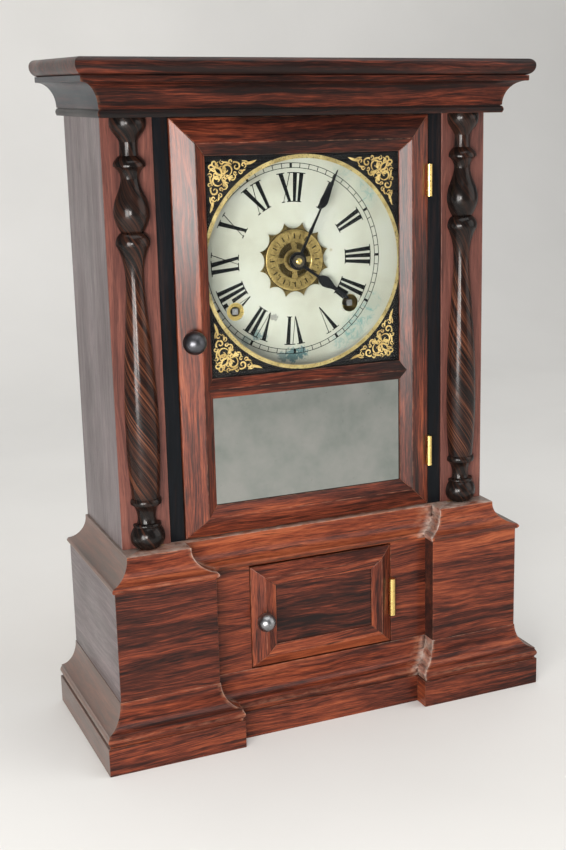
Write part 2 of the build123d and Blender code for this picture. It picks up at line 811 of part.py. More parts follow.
def layout():
    """Places of the arbors, as offsets from the dial's centre."""
    centre = (0.0, 0.0)
    time = (-winding_offset, -winding_drop)
    strike = (winding_offset, -winding_drop)
    to_time = pitch_distance(great_module, great_teeth, great_pinion_teeth)
    to_centre = pitch_distance(drive_module, drive_teeth, centre_teeth)
    span = math.hypot(*time)
    along = (to_centre ** 2 - to_time ** 2 + span ** 2) / (2 * span)
    across = math.sqrt(to_centre ** 2 - along ** 2)
    unit = (time[0] / span, time[1] / span)
    second = (unit[0] * along + unit[1] * across, unit[1] * along - unit[0] * across)
    third = step(second, pitch_distance(second_module, second_teeth, train_pinion_teeth), third_angle)
    to_escape = pitch_distance(third_module, third_teeth, train_pinion_teeth)
    escape = (0.0, third[1] + math.sqrt(to_escape ** 2 - third[0] ** 2))
    pin_wheel = step(strike, to_time, pin_wheel_angle)
    to_minute = pitch_distance(cannon_module, cannon_teeth, minute_teeth)
    return {
        "centre": centre,
        "time": time,
        "strike": strike,
        "second": second,
        "third": third,
        "escape": escape,
        "verge": (0.0, escape[1] + verge_rise),
        "pin_wheel": pin_wheel,
        "fly": step(pin_wheel, to_escape, fly_angle),
        "hammer": hammer_pivot,
        "minute": step(centre, to_minute, minute_stud_angle),
    }


def at(place):
    """Moves what is built about the Y axis to an arbor's place."""
    return Pos(place[0], 0, dial_z + place[1])


def arbor(radius, front, back):
    return rod(0, 0, radius, front, back)


def through_arbor():
    return arbor(arbor_radius, front_plate_y, back_plate_back)


def make_plates(places):
    low = dial_z - plate_bottom
    high = dial_z + plate_top
    front = board(-plate_half, plate_half, front_plate_y, wheel_y, low, high)
    back = board(-plate_half, plate_half, back_plate_y, back_plate_back, low, high)
    bores = {"centre": centre_arbor_radius, "time": winding_arbor_radius, "strike": winding_arbor_radius}
    for name in places:
        if name == "minute":
            continue
        bore = bores.get(name, arbor_radius) + running_play
        front -= at(places[name]) * arbor(bore, front_plate_y, wheel_y)
        back -= at(places[name]) * arbor(bore, back_plate_y, back_plate_back)

    front += at(places["minute"]) * arbor(stud_radius, front_plate_y - stud_length, wheel_y)
    for name in ("time", "strike"):
        hook = (places[name][0], places[name][1] - spring_radius - spring_post_radius - close_play)
        back += at(hook) * arbor(spring_post_radius, wheel_y + level_spring, back_plate_y)
    suspension_low = dial_z + places["verge"][1] + suspension_rise
    back += board(-suspension_half, suspension_half, back_plate_back, pendulum_y + suspension_half,
                  suspension_low, high)

    batten_edge = plate_half - movement_batten_width
    batten_low = low + movement_batten_rise
    batten = board(-plate_half, -batten_edge, back_plate_back, inner_back_y, batten_low, high)
    screws = []
    screw_x = (plate_half + batten_edge) / 2
    for x in (-screw_x, screw_x):
        for row in movement_screw_rows:
            place = at((x, row))
            screw = arbor(screw_radius, back_plate_y, back_plate_y + screw_length)
            screw += arbor(screw_head_radius, back_plate_y - screw_head_height, back_plate_y)
            screws.append(place * screw)
            hole = place * arbor(screw_radius + close_play, back_plate_y, back_plate_y + screw_length)
            back -= hole
            if x < 0:
                batten -= hole

    pillars = []
    for x, z in (upper_pillar, lower_pillar):
        pillars += both_sides(at((x, z)) * arbor(pillar_radius, wheel_y, back_plate_y))
    nodes = {"front_plate": [front], "back_plate": [back], "plate_pillars": pillars}
    return nodes, both_sides(batten), screws


def pinion_at(teeth, module, phase, wheel_front, thickness):
    """Pinion a little wider than the wheel that turns with it in mesh."""
    return toothed(teeth, module, phase, wheel_front - pinion_overlap, thickness + 2 * pinion_overlap)


def make_winding(place):
    """Winding arbor with its square end and ratchet."""
    square_front = dial_y + dial_thickness
    great_front = wheel_y + level_great
    half = winding_square / 2
    solid = arbor(winding_arbor_radius, front_plate_y, back_plate_back)
    solid += board(-half, half, square_front, front_plate_y, -half, half)
    ratchet_front = great_front - wheel_thickness - 2 * running_play
    solid += toothed(ratchet_teeth, 2 * ratchet_radius / ratchet_teeth, 0, ratchet_front, wheel_thickness)
    return at(place) * solid


def make_great_wheel(place):
    front = wheel_y + level_great
    wheel = toothed(great_teeth, great_module, 0, front, great_thickness)
    return at(place) * (wheel - arbor(winding_arbor_radius + running_play, front, front + great_thickness))


def make_spring(place):
    """Coiled mainspring, as one ring of its packed turns."""
    front = wheel_y + level_spring
    ring = arbor(spring_radius, front, front + spring_height)
    return at(place) * (ring - arbor(spring_inner, front, front + spring_height))


def make_time_train(places):
    first = wheel_y + level_first
    drive = wheel_y + level_drive
    great = wheel_y + level_great
    third_level = wheel_y + level_third
    escape_level = wheel_y + level_escape

    to_second = bearing_of(places["time"], places["second"])
    second_phase = mesh_phase(0, great_teeth, great_pinion_teeth, to_second)
    second = through_arbor()
    second += pinion_at(great_pinion_teeth, great_module, second_phase, great, great_thickness)
    second += toothed(second_teeth, second_module, 0, first, wheel_thickness)
    second += toothed(drive_teeth, drive_module, 0, drive, wheel_thickness)

    to_centre = bearing_of(places["second"], places["centre"])
    minute_front = dial_y - minute_stand - hand_thickness - nut_height
    cannon_front = front_plate_y - wheel_thickness - 2 * running_play
    centre_phase = mesh_phase(0, drive_teeth, centre_teeth, to_centre)
    centre = arbor(centre_arbor_radius, minute_front, back_plate_back)
    centre += toothed(centre_teeth, drive_module, centre_phase, drive, wheel_thickness)
    centre += toothed(cannon_teeth, cannon_module, 0, cannon_front, wheel_thickness)

    to_third = bearing_of(places["second"], places["third"])
    third_phase = mesh_phase(0, second_teeth, train_pinion_teeth, to_third)
    third = through_arbor()
    third += pinion_at(train_pinion_teeth, second_module, third_phase, first, wheel_thickness)
    third += toothed(third_teeth, third_module, 0, third_level, wheel_thickness)

    to_escape = bearing_of(places["third"], places["escape"])
    escape_phase = mesh_phase(0, third_teeth, train_pinion_teeth, to_escape)
    escape = through_arbor()
    escape += pinion_at(train_pinion_teeth, third_module, escape_phase, third_level, wheel_thickness)
    escape_root = escape_radius - escape_tooth_depth
    saw_teeth = []
    for index in range(escape_teeth):
        for reach, share in ((escape_root, 0.1), (escape_radius, 0.0), (escape_root, 0.9)):
            angle = (index + share) * 2 * math.pi / escape_teeth
            saw_teeth.append((reach * math.cos(angle), reach * math.sin(angle)))
    escape += slab(saw_teeth, escape_level, escape_level + wheel_thickness)

    return {
        "time_winding_arbor": [make_winding(places["time"])],
        "time_great_wheel": [make_great_wheel(places["time"])],
        "second_wheel": [at(places["second"]) * second],
        "centre_arbor": [at(places["centre"]) * centre],
        "third_wheel": [at(places["third"]) * third],
        "escape_wheel": [at(places["escape"]) * escape],
    }


def make_motion_work(places):
    cannon_front = front_plate_y - wheel_thickness - 2 * running_play
    hour_front = cannon_front - 2 * wheel_thickness
    hour_module = cannon_module * (cannon_teeth + minute_teeth) / (minute_pinion_teeth + hour_teeth)
    to_minute = bearing_of(places["centre"], places["minute"])
    minute_phase = mesh_phase(0, cannon_teeth, minute_teeth, to_minute)
    hour_phase = mesh_phase(0, minute_pinion_teeth, hour_teeth, to_minute + math.pi)
    minute = toothed(minute_teeth, cannon_module, minute_phase, cannon_front, wheel_thickness)
    pinion_front = hour_front - pinion_overlap
    minute += toothed(minute_pinion_teeth, hour_module, 0, pinion_front, cannon_front - pinion_front)
    minute -= arbor(stud_radius + running_play, pinion_front, cannon_front + wheel_thickness)

    pipe_front = dial_y - hour_stand - hand_thickness - running_play
    hour = toothed(hour_teeth, hour_module, hour_phase, hour_front, wheel_thickness)
    hour += arbor(hour_pipe_radius, pipe_front, hour_front + wheel_thickness)
    hour -= arbor(hour_pipe_inner, pipe_front, hour_front + wheel_thickness)
    return {
        "minute_wheel": [at(places["minute"]) * minute],
        "hour_wheel": [at(places["centre"]) * hour],
    }


def make_pendulum(places):
    pivot = places["verge"]
    pivot_z = dial_z + pivot[1]
    escape_level = wheel_y + level_escape
    crutch_front = back_plate_back + behind_plate_gap
    crutch_back = crutch_front + 2 * verge_arm

    verge = arbor(arbor_radius, front_plate_y, crutch_back)
    verge += arbor(2 * arbor_radius, escape_level, escape_level + wheel_thickness)
    for side in (-1, 1):
        arm = [(0, verge_arm), (side * pallet_reach, -pallet_drop + verge_arm / 2),
               (side * pallet_reach, -pallet_drop - verge_arm / 2), (0, -verge_arm)]
        verge += slab(arm, escape_level, escape_level + wheel_thickness)
    eye_half = pendulum_rod_radius + crutch_wall
    eye_low = -crutch_length
    verge += board(-arbor_radius, arbor_radius, crutch_front, crutch_back, eye_low, 0)
    verge += board(-eye_half, eye_half, crutch_front, pendulum_y + eye_half, eye_low, eye_low + crutch_wall)
    eye_hole = post(0, pendulum_y, pendulum_rod_radius + running_play, eye_low, eye_low + crutch_wall)
    verge = at(pivot) * (verge - eye_hole)

    bob_z = pivot_z - pendulum_length
    nut_low = bob_z - bob_radius - rating_nut_height - running_play
    rod_top = pivot_z + suspension_rise - tongue_play
    pendulum_rod = post(0, pendulum_y, pendulum_rod_radius, nut_low, rod_top)
    nut = post(0, pendulum_y, rating_nut_radius, nut_low, nut_low + rating_nut_height)
    nut -= post(0, pendulum_y, pendulum_rod_radius + close_play, nut_low, nut_low + rating_nut_height)
    front_pole = (0, -bob_thickness / 2)
    back_pole = (0, bob_thickness / 2)
    rim = (bob_radius, 0)
    lens = [TangentArc(front_pole, rim, tangent=(1, 0)), TangentArc(back_pole, rim, tangent=(1, 0)),
            Line(back_pole, front_pole)]
    bob = Pos(0, pendulum_y, bob_z) * revolve(make_face(lens), Axis.Y, 360)
    bob -= post(0, pendulum_y, pendulum_rod_radius + close_play, bob_z - bob_radius, bob_z + bob_radius)
    return {"verge": [verge], "pendulum_rod": [pendulum_rod, nut], "pendulum_bob": [bob]}


def make_strike(places):
    first = wheel_y + level_first
    great = wheel_y + level_great
    to_pin = bearing_of(places["strike"], places["pin_wheel"])
    pin_phase = mesh_phase(0, great_teeth, great_pinion_teeth, to_pin)
    pin_wheel = through_arbor()
    pin_wheel += pinion_at(great_pinion_teeth, great_module, pin_phase, great, great_thickness)
    pin_wheel += toothed(third_teeth, third_module, 0, first, wheel_thickness)
    for index in range(lifting_pin_count):
        x, z = step((0, 0), lifting_pin_circle, 360 / lifting_pin_count * index)
        pin_wheel += rod(x, z, lifting_pin_radius, first + wheel_thickness, first + 3 * wheel_thickness)

    to_fly = bearing_of(places["pin_wheel"], places["fly"])
    fly_phase = mesh_phase(0, third_teeth, train_pinion_teeth, to_fly)
    fly = through_arbor()
    fly += pinion_at(train_pinion_teeth, third_module, fly_phase, first, wheel_thickness)
    blade = fly_thickness / 2
    fly += board(-fly_half_width, fly_half_width, great, great + fly_length, -blade, blade)

    bell_z = dial_z - bell_drop
    rim_y = inner_back_y - bell_rim_from_back
    sphere_radius = (bell_radius ** 2 + bell_depth ** 2) / (2 * bell_depth)
    apex_y = rim_y - bell_depth
    sphere_place = Pos(bell_offset, apex_y + sphere_radius, bell_z)
    bell = sphere_place * Sphere(sphere_radius) - sphere_place * Sphere(sphere_radius - bell_wall)
    bell &= rod(bell_offset, bell_z, 2 * bell_radius, apex_y - bell_wall, rim_y)
    bell -= rod(bell_offset, bell_z, bell_post_radius + close_play, apex_y - bell_wall, rim_y)
    nut_front = apex_y - 2 * bell_wall
    bell_post = rod(bell_offset, bell_z, bell_post_radius, nut_front, inner_back_y)
    bell_post += rod(bell_offset, bell_z, bell_nut_radius, nut_front, apex_y)

    arm_front = back_plate_back + behind_plate_gap
    arm_back = arm_front + 2 * hammer_arm
    head = (bell_offset - places["hammer"][0],
            bell_radius + hammer_head_radius + hammer_gap - bell_drop - places["hammer"][1])
    length = math.hypot(*head)
    side = (-head[1] / length * hammer_arm, head[0] / length * hammer_arm)
    hammer = arbor(arbor_radius, front_plate_y, arm_back)
    hammer += slab([side, (head[0] + side[0], head[1] + side[1]), (head[0] - side[0], head[1] - side[1]),
                    (-side[0], -side[1])], arm_front, arm_back)
    hammer += rod(head[0], head[1], hammer_head_radius, arm_front, rim_y - hammer_arm)
    return {
        "strike_winding_arbor": [make_winding(places["strike"])],
        "strike_great_wheel": [make_great_wheel(places["strike"])],
        "pin_wheel": [at(places["pin_wheel"]) * pin_wheel],
        "fly": [at(places["fly"]) * fly],
        "strike_hammer": [at(places["hammer"]) * hammer],
        "strike_bell": [bell, bell_post],
    }


def make_clock():
    """Every piece of the clock, as lists of solids under their names."""
    base = make_base()
    case = make_case()
    door, case_leaves, pins = make_upper_door(case)
    base_door, base_case_leaf, base_pin = make_base_door(base)
    dial, dial_battens, dial_screws = make_dial()
    places = layout()
    plates, movement_battens, movement_screws = make_plates(places)
    return {
        **base,
        **case,
        **door,
        **base_door,
        **dial,
        **plates,
        **make_time_train(places),
        **make_motion_work(places),
        **make_pendulum(places),
        **make_strike(places),
        "mainsprings": [make_spring(places["time"]), make_spring(places["strike"])],
        "hinge_case_leaves": case_leaves + [base_case_leaf],
        "hinge_pins": pins + [base_pin],
        "inner_battens": dial_battens + movement_battens,
        "screws": dial_screws + movement_screws,
    }


def write_parts():
    os.makedirs("parts", exist_ok=True)
    for name, solids in make_clock().items():
        whole = [solid for piece in solids for solid in piece.solids()]
        shape = whole[0] if len(whole) == 1 else Compound(children=whole)
        export_step(shape, f"parts/{name}.step")


write_parts()
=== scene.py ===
import json
import math

import bmesh
import bpy
from mathutils import Matrix, Vector


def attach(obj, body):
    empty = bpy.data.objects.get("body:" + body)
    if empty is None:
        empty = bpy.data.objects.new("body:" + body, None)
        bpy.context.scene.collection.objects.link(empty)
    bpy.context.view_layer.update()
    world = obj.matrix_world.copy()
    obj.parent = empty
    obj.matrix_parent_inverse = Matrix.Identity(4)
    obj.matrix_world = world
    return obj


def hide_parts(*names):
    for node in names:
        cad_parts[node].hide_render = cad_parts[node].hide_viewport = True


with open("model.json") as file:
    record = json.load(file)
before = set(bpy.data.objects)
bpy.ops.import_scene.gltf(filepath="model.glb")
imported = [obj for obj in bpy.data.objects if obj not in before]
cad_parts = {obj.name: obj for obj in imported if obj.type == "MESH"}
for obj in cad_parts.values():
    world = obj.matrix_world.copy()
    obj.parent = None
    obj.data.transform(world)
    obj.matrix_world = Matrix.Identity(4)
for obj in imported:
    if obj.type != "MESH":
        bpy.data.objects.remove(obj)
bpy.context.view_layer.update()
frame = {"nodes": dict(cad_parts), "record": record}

nodes = frame["nodes"]
bodies = frame["record"]["behaviour"]["bodies"]
node_body = {node: body for body, members in bodies.items() for node in members}

# Lengths of the clock are in millimetres in the part's frame, and become metres as a mesh is made.
# The floor, the lights and the camera are in metres.
MM = 0.001


def places(node, axis):
    """Where a CAD node's points lie along one axis, to a hundredth of a millimetre."""
    column = "xyz".index(axis)
    return [round(vert.co[column] / MM, 2) for vert in nodes[node].data.vertices]


def least(node, axis):
    return min(places(node, axis))


def greatest(node, axis):
    return max(places(node, axis))


def midway(node, axis):
    return round((least(node, axis) + greatest(node, axis)) / 2, 2)


# Lines of the case that the mouldings follow
back_y = greatest("base_sides", "y")
die_half = greatest("base_sides", "x")
die_y = least("base_sides", "y")
die_low = greatest("foot_moulding", "z")
die_top = greatest("base_sides", "z")
breakfront_half = min(abs(x) for x in places("pedestal_fronts", "x"))
recess_y = least("base_front", "y")
skirt_top = greatest("skirt", "z")
ledge_z = greatest("cap_moulding", "z")
soffit_z = least("cornice_crown", "z")
crown_top = greatest("cornice_crown", "z")
case_y = least("case_front_frame", "y")
column_x = midway("right_column", "x")

# Lines of the dial, its glass and the opening that the door's frame leaves for it
dial_z = midway("dial_plate", "z")
dial_y = least("dial_plate", "y")
pane_half = greatest("dial_glass", "x")
pane_low = least("dial_glass", "z")
pane_high = greatest("dial_glass", "z")
pane_back = greatest("dial_glass", "y")
opening_half = 67.3
glass_low = 240.6
glass_high = 381.4
winding_x = midway("strike_winding_arbor", "x")
winding_z = midway("strike_winding_arbor", "z")
winding_hole = 6.0


materials = {}


class Nodes:
    """A new material, listed by its name, and short calls that add shader nodes to it."""

    def __init__(self, name):
        materials[name] = bpy.data.materials.new(name)
        materials[name].use_nodes = True
        self.tree = materials[name].node_tree
        self.tree.nodes.clear()
        self.output = self.tree.nodes.new("ShaderNodeOutputMaterial")
        self.shader = self.tree.nodes.new("ShaderNodeBsdfPrincipled")
        self.link(self.shader.outputs[0], self.output.inputs["Surface"])

    def link(self, source, target):
        self.tree.links.new(source, target)

    def put(self, socket, value):
        if isinstance(value, bpy.types.NodeSocket):
            self.link(value, socket)
        elif isinstance(value, (tuple, list)) and len(value) == 3 and socket.type == "RGBA":
            socket.default_value = (*value, 1.0)
        else:
            socket.default_value = value

    def add(self, kind, values, output=0, **settings):
        node = self.tree.nodes.new(kind)
        for key, value in settings.items():
            setattr(node, key, value)
        for key, value in values.items():
            self.put(node.inputs[key], value)
        return node.outputs[output]

    def surface(self, **values):
        for key, value in values.items():
            self.put(self.shader.inputs[key.replace("_", " ")], value)

    def position(self):
        return self.add("ShaderNodeTexCoord", {}, output="Object")

    def attribute(self, name, output):
        return self.add("ShaderNodeAttribute", {}, output=output, attribute_name=name)

    def stretch(self, vector, scale, location=(0, 0, 0)):
        return self.add("ShaderNodeMapping", {"Vector": vector, "Scale": scale, "Location": location})

    def noise(self, vector, scale=1.0, detail=3.0, roughness=0.5, distortion=0.0):
        return self.add("ShaderNodeTexNoise", {"Vector": vector, "Scale": scale, "Detail": detail,
                                               "Roughness": roughness, "Distortion": distortion})

    def math(self, operation, first, second=0.0, clamp=False):
        return self.add("ShaderNodeMath", {0: first, 1: second}, operation=operation, use_clamp=clamp)

    def times(self, first, second, clamp=False):
        return self.math("MULTIPLY", first, second, clamp)

    def plus(self, first, second):
        return self.math("ADD", first, second)

    def parts(self, vector):
        node = self.tree.nodes.new("ShaderNodeSeparateXYZ")
        self.put(node.inputs[0], vector)
        return node.outputs[0], node.outputs[1], node.outputs[2]

    def join(self, x, y, z):
        return self.add("ShaderNodeCombineXYZ", {0: x, 1: y, 2: z})

    def ramp(self, value, stops):
        node = self.tree.nodes.new("ShaderNodeValToRGB")
        elements = node.color_ramp.elements
        while len(elements) < len(stops):
            elements.new(0.5)
        for element, (place, colour) in zip(elements, stops):
            element.position = place
            element.color = (*colour, 1.0)
        self.put(node.inputs[0], value)
        return node.outputs[0]

    def span(self, value, low, high, new_low=0.0, new_high=1.0):
        return self.add("ShaderNodeMapRange", {"Value": value, "From Min": low, "From Max": high,
                                               "To Min": new_low, "To Max": new_high})

    def mix(self, share, first, second):
        node = self.tree.nodes.new("ShaderNodeMix")
        node.data_type = "RGBA"
        self.put(node.inputs[0], share)
        self.put(node.inputs[6], first)
        self.put(node.inputs[7], second)
        return node.outputs[2]

    def near(self, vector, centre, reach):
        """1 at a point and 0 from a given distance on."""
        gap = self.add("ShaderNodeVectorMath", {0: vector, 1: centre}, output="Value", operation="DISTANCE")
        return self.span(gap, reach, 0.0)

    def bump(self, height, strength, distance):
        return self.add("ShaderNodeBump", {"Height": height, "Strength": strength, "Distance": distance})


# Wood

ROSEWOOD = [
    (0.38, (0.011, 0.0052, 0.0045)), (0.45, (0.050, 0.0125, 0.0075)), (0.50, (0.112, 0.0245, 0.013)),
    (0.55, (0.195, 0.044, 0.019)), (0.63, (0.330, 0.086, 0.034)),
]
COLUMN_BOARD = [
    (0.36, (0.034, 0.014, 0.012)), (0.45, (0.090, 0.030, 0.023)), (0.55, (0.140, 0.048, 0.036)),
    (0.64, (0.210, 0.076, 0.054)),
]
# Greyed, mauve colours of the case and base sides: faded veneer and a painted reflection of the pale room
# on their varnish
CASE_SIDE = [
    (0.37, (0.022, 0.011, 0.011)), (0.45, (0.072, 0.047, 0.049)), (0.53, (0.118, 0.087, 0.091)),
    (0.62, (0.190, 0.136, 0.136)),
]
JAMB = [(0.38, (0.003, 0.004, 0.005)), (0.52, (0.006, 0.007, 0.009)), (0.64, (0.022, 0.013, 0.012))]
PINE = [(0.36, (0.250, 0.130, 0.055)), (0.50, (0.390, 0.225, 0.105)), (0.64, (0.480, 0.300, 0.155))]
# Greys that the side runs are mixed towards: faded veneer, and a painted reflection of the pale room on the
# varnish
SIDE_SHEEN_GREY = (0.172, 0.140, 0.122)
CROWN_SHEEN_GREY = (0.046, 0.060, 0.070)
CHALK = (0.62, 0.54, 0.47)
# Colour that negative wear darkens the wood to: painted shade in grooves, under the crown's cove and on the
# breakfront's inner returns, and the darker cap bead on the recess and right-hand lengths
DARKENING = (0.011, 0.010, 0.010)
VEIN = (0.010, 0.006, 0.0055)
PORE = (0.006, 0.003, 0.002)
GRAIN_ORDER = {"x": (0, 2, 1), "y": (1, 2, 0), "z": (2, 0, 1)}
FIGURE_SHARE, STREAK_SHARE, FINE_SHARE = 0.38, 0.36, 0.26


def wood(name, colours, source="grain", coat=0.2, roughness=0.38, coat_roughness=0.15, specular=0.12,
         veins=0.75, pores=0.5, tone=0.0, worn=(0.38, 0.18, 0.11), sheen_grey=SIDE_SHEEN_GREY):
    """Varnished wood. The grain runs along the first number of its coordinates."""
    n = Nodes(name)
    if source == "grain":
        place = n.attribute("grain", "Vector")
    else:
        numbers = n.parts(n.position())
        place = n.join(*[numbers[i] for i in GRAIN_ORDER[source]])
    along, across, depth = n.parts(place)
    wave = n.noise(n.stretch(place, (9, 26, 26), (1.7, 0.2, 0.4)), detail=2)
    place = n.join(along, n.plus(across, n.span(wave, 0.3, 0.7, -0.003, 0.003)), depth)
    figure = n.noise(n.stretch(place, (7, 85, 85)), detail=6, roughness=0.64, distortion=0.4)
    streak = n.noise(n.stretch(place, (17, 430, 430), (0.3, 0.7, 0.1)), detail=5, roughness=0.66,
                     distortion=0.2)
    fine = n.noise(n.stretch(place, (75, 1400, 1400)), detail=3, roughness=0.65)
    patch = n.noise(n.stretch(place, (9, 24, 24), (4.1, 1.3, 0.6)), detail=2)
    blend = n.plus(n.times(figure, FIGURE_SHARE), n.times(streak, STREAK_SHARE))
    blend = n.plus(blend, n.times(fine, FINE_SHARE))
    blend = n.plus(blend, n.span(patch, 0.3, 0.7, -0.03, 0.03))
    blend = n.plus(blend, n.attribute("tone", "Fac") if source == "grain" else tone)
    colour = n.ramp(blend, colours)
    vein = n.noise(n.stretch(place, (15, 300, 300), (3.3, 1.1, 2.2)), detail=4, roughness=0.62,
                   distortion=0.4)
    colour = n.mix(n.span(vein, 0.58, 0.66, 0.0, veins), colour, VEIN)
    pore = n.noise(n.stretch(place, (90, 2600, 2600), (2.1, 0.4, 0.9)), detail=1)
    pore_share = n.span(pore, 0.60, 0.70, 0.0, pores)
    colour = n.mix(pore_share, colour, PORE)
    scuff = n.noise(n.stretch(place, (160, 420, 420), (0.8, 0.2, 0.5)), detail=4, roughness=0.6)
    wear_and_shade = n.attribute("wear_and_shade", "Fac")
    rubbed = n.times(n.math("MINIMUM", wear_and_shade, 1.0), n.span(scuff, 0.42, 0.64, 0.0, 0.5))
    colour = n.mix(rubbed, colour, worn)
    haze = n.noise(n.stretch(place, (130, 210, 210), (1.4, 0.6, 0.2)), detail=4, roughness=0.6)
    bare = n.times(n.math("SUBTRACT", wear_and_shade, 1.0, clamp=True), n.span(haze, 0.34, 0.66, 0.05, 0.95))
    colour = n.mix(bare, colour, CHALK)
    if source == "grain":
        # Greying of the side runs: faded veneer and a painted reflection of the pale room
        colour = n.mix(n.attribute("fade_and_sheen", "Fac"), colour, sheen_grey)
    # Negative wear darkens the wood: painted shade in grooves, under the crown's cove and on the
    # breakfront's inner returns
    darkening = n.times(n.times(wear_and_shade, -1.0, clamp=True), n.span(scuff, 0.35, 0.60, 1.0, 0.75))
    colour = n.mix(darkening, colour, DARKENING)
    relief = n.math("SUBTRACT", n.times(streak, 0.5), pore_share)
    dull = n.noise(n.stretch(place, (14, 30, 30), (5.0, 2.0, 1.0)), detail=3)
    n.surface(Base_Color=colour, Roughness=n.span(dull, 0.3, 0.7, roughness - 0.07, roughness + 0.09),
              Normal=n.bump(relief, 0.18, 0.00025))
    n.surface(Coat_Weight=coat, Coat_Roughness=coat_roughness, Specular_IOR_Level=specular)


# Radius at which the shaft's grain is unrolled, and the cosine and sine of the angle at which it winds
SHAFT_RADIUS = 10.5
WIND_COSINE, WIND_SINE = 0.82, 0.573


def turned_wood(name, centre_x):
    """Dark turning with a figured shaft whose grain winds down to the right."""
    n = Nodes(name)
    x, y, z = n.parts(n.position())
    turn = n.math("ARCTAN2", n.math("SUBTRACT", x, centre_x * MM), n.math("SUBTRACT", case_y * MM, y))
    round_way = n.times(turn, SHAFT_RADIUS * MM)
    across = n.plus(n.times(round_way, WIND_COSINE), n.times(z, WIND_SINE))
    along = n.math("SUBTRACT", n.times(round_way, WIND_SINE), n.times(z, WIND_COSINE))
    place = n.join(along, across, centre_x * MM)
    broad = n.noise(n.stretch(place, (9, 280, 3)), detail=4, roughness=0.6, distortion=0.4)
    stripe = n.noise(n.stretch(place, (12, 1400, 5)), detail=3, roughness=0.6, distortion=0.2)
    blend = n.plus(n.times(broad, 0.45), n.times(stripe, 0.55))
    shaft = n.ramp(blend, [(0.42, (0.006, 0.0035, 0.003)), (0.49, (0.020, 0.0075, 0.005)),
                           (0.55, (0.062, 0.021, 0.011)), (0.63, (0.160, 0.058, 0.028))])
    ends = n.ramp(blend, [(0.40, (0.0035, 0.003, 0.003)), (0.52, (0.009, 0.006, 0.005)),
                          (0.64, (0.045, 0.016, 0.009))])
    height = n.math("SUBTRACT", z, ledge_z * MM)
    inside = n.times(n.span(height, 0.032, 0.040), n.span(height, 0.192, 0.160))
    n.surface(Base_Color=n.mix(inside, ends, shaft), Roughness=n.span(broad, 0.3, 0.7, 0.24, 0.34),
              Normal=n.bump(stripe, 0.04, 0.0001))
    n.surface(Coat_Weight=0.42, Coat_Roughness=0.18, Specular_IOR_Level=0.03)


def metal(name, bright, dark, roughness, scale=160.0, share=0.6):
    """Metal with patches of tarnish and fine scratches."""
    n = Nodes(name)
    place = n.position()
    patch = n.noise(place, scale, detail=4, roughness=0.62)
    scratch = n.noise(n.stretch(place, (40, 9, 14)), scale, detail=2)
    colour = n.mix(n.span(patch, 0.42, 0.72, 0.0, share), bright, dark)
    n.surface(Base_Color=colour, Roughness=n.span(patch, 0.3, 0.7, roughness - 0.06, roughness + 0.14),
              Normal=n.bump(scratch, 0.08, 0.0001))
    n.surface(Metallic=1.0)


def gilding(name, deep, bright, gloss):
    """Gold leaf, worn through to the black paint in places."""
    n = Nodes(name)
    place = n.position()
    worn = n.noise(place, 900.0, detail=4, roughness=0.65)
    tone = n.noise(place, 140.0, detail=3)
    gold = n.mix(n.span(tone, 0.35, 0.65), deep, bright)
    bare = n.span(worn, 0.56, 0.64)
    n.surface(Base_Color=n.mix(bare, gold, (0.012, 0.010, 0.008)),
              Metallic=n.span(bare, 0.0, 1.0, gloss, 0.0),
              Roughness=n.span(tone, 0.3, 0.7, 0.38, 0.55), Normal=n.bump(worn, 0.15, 0.0001))


def black_paint(name):
    """Black paint behind glass, with faint brush marks."""
    n = Nodes(name)
    brushed = n.noise(n.stretch(n.position(), (60, 60, 900)), detail=3)
    n.surface(Base_Color=n.mix(n.span(brushed, 0.35, 0.7), (0.004, 0.004, 0.005), (0.014, 0.013, 0.013)),
              Roughness=n.span(brushed, 0.3, 0.7, 0.25, 0.4), Specular_IOR_Level=0.1)


# Stains on the dial: place across and up from the dial's centre, reach, strength and colour
TEAL = (0.05, 0.11, 0.12)
PALE_TEAL = (0.11, 0.23, 0.22)
GREY = (0.10, 0.10, 0.095)
OCHRE = (0.23, 0.19, 0.115)
STAINS = [
    (-2.0, -64.5, 8.0, 0.95, TEAL), (5.0, -63.5, 7.0, 0.95, TEAL), (-9.0, -65.0, 6.0, 0.7, TEAL),
    (-27.0, -49.0, 5.5, 0.8, TEAL), (-22.0, -50.0, 4.0, 0.6, TEAL), (-35.0, -52.0, 5.0, 0.5, TEAL),
    (-14.5, -37.5, 4.0, 0.7, GREY), (23.0, -0.5, 3.0, 0.35, GREY), (28.0, 5.0, 1.6, 0.6, OCHRE),
    (44.0, -49.0, 10.0, 0.75, PALE_TEAL), (52.0, -41.0, 9.0, 0.75, PALE_TEAL),
    (58.0, -32.0, 8.0, 0.65, PALE_TEAL), (35.0, -57.0, 8.0, 0.6, PALE_TEAL),
    (54.0, 45.0, 9.0, 0.55, PALE_TEAL), (57.0, 37.0, 6.0, 0.55, PALE_TEAL),
    (38.0, 57.0, 9.0, 0.4, PALE_TEAL), (-41.0, -25.0, 9.0, 0.35, OCHRE), (44.0, -28.0, 8.0, 0.25, GREY),
    (-30.0, 58.0, 14.0, 0.3, OCHRE),
]


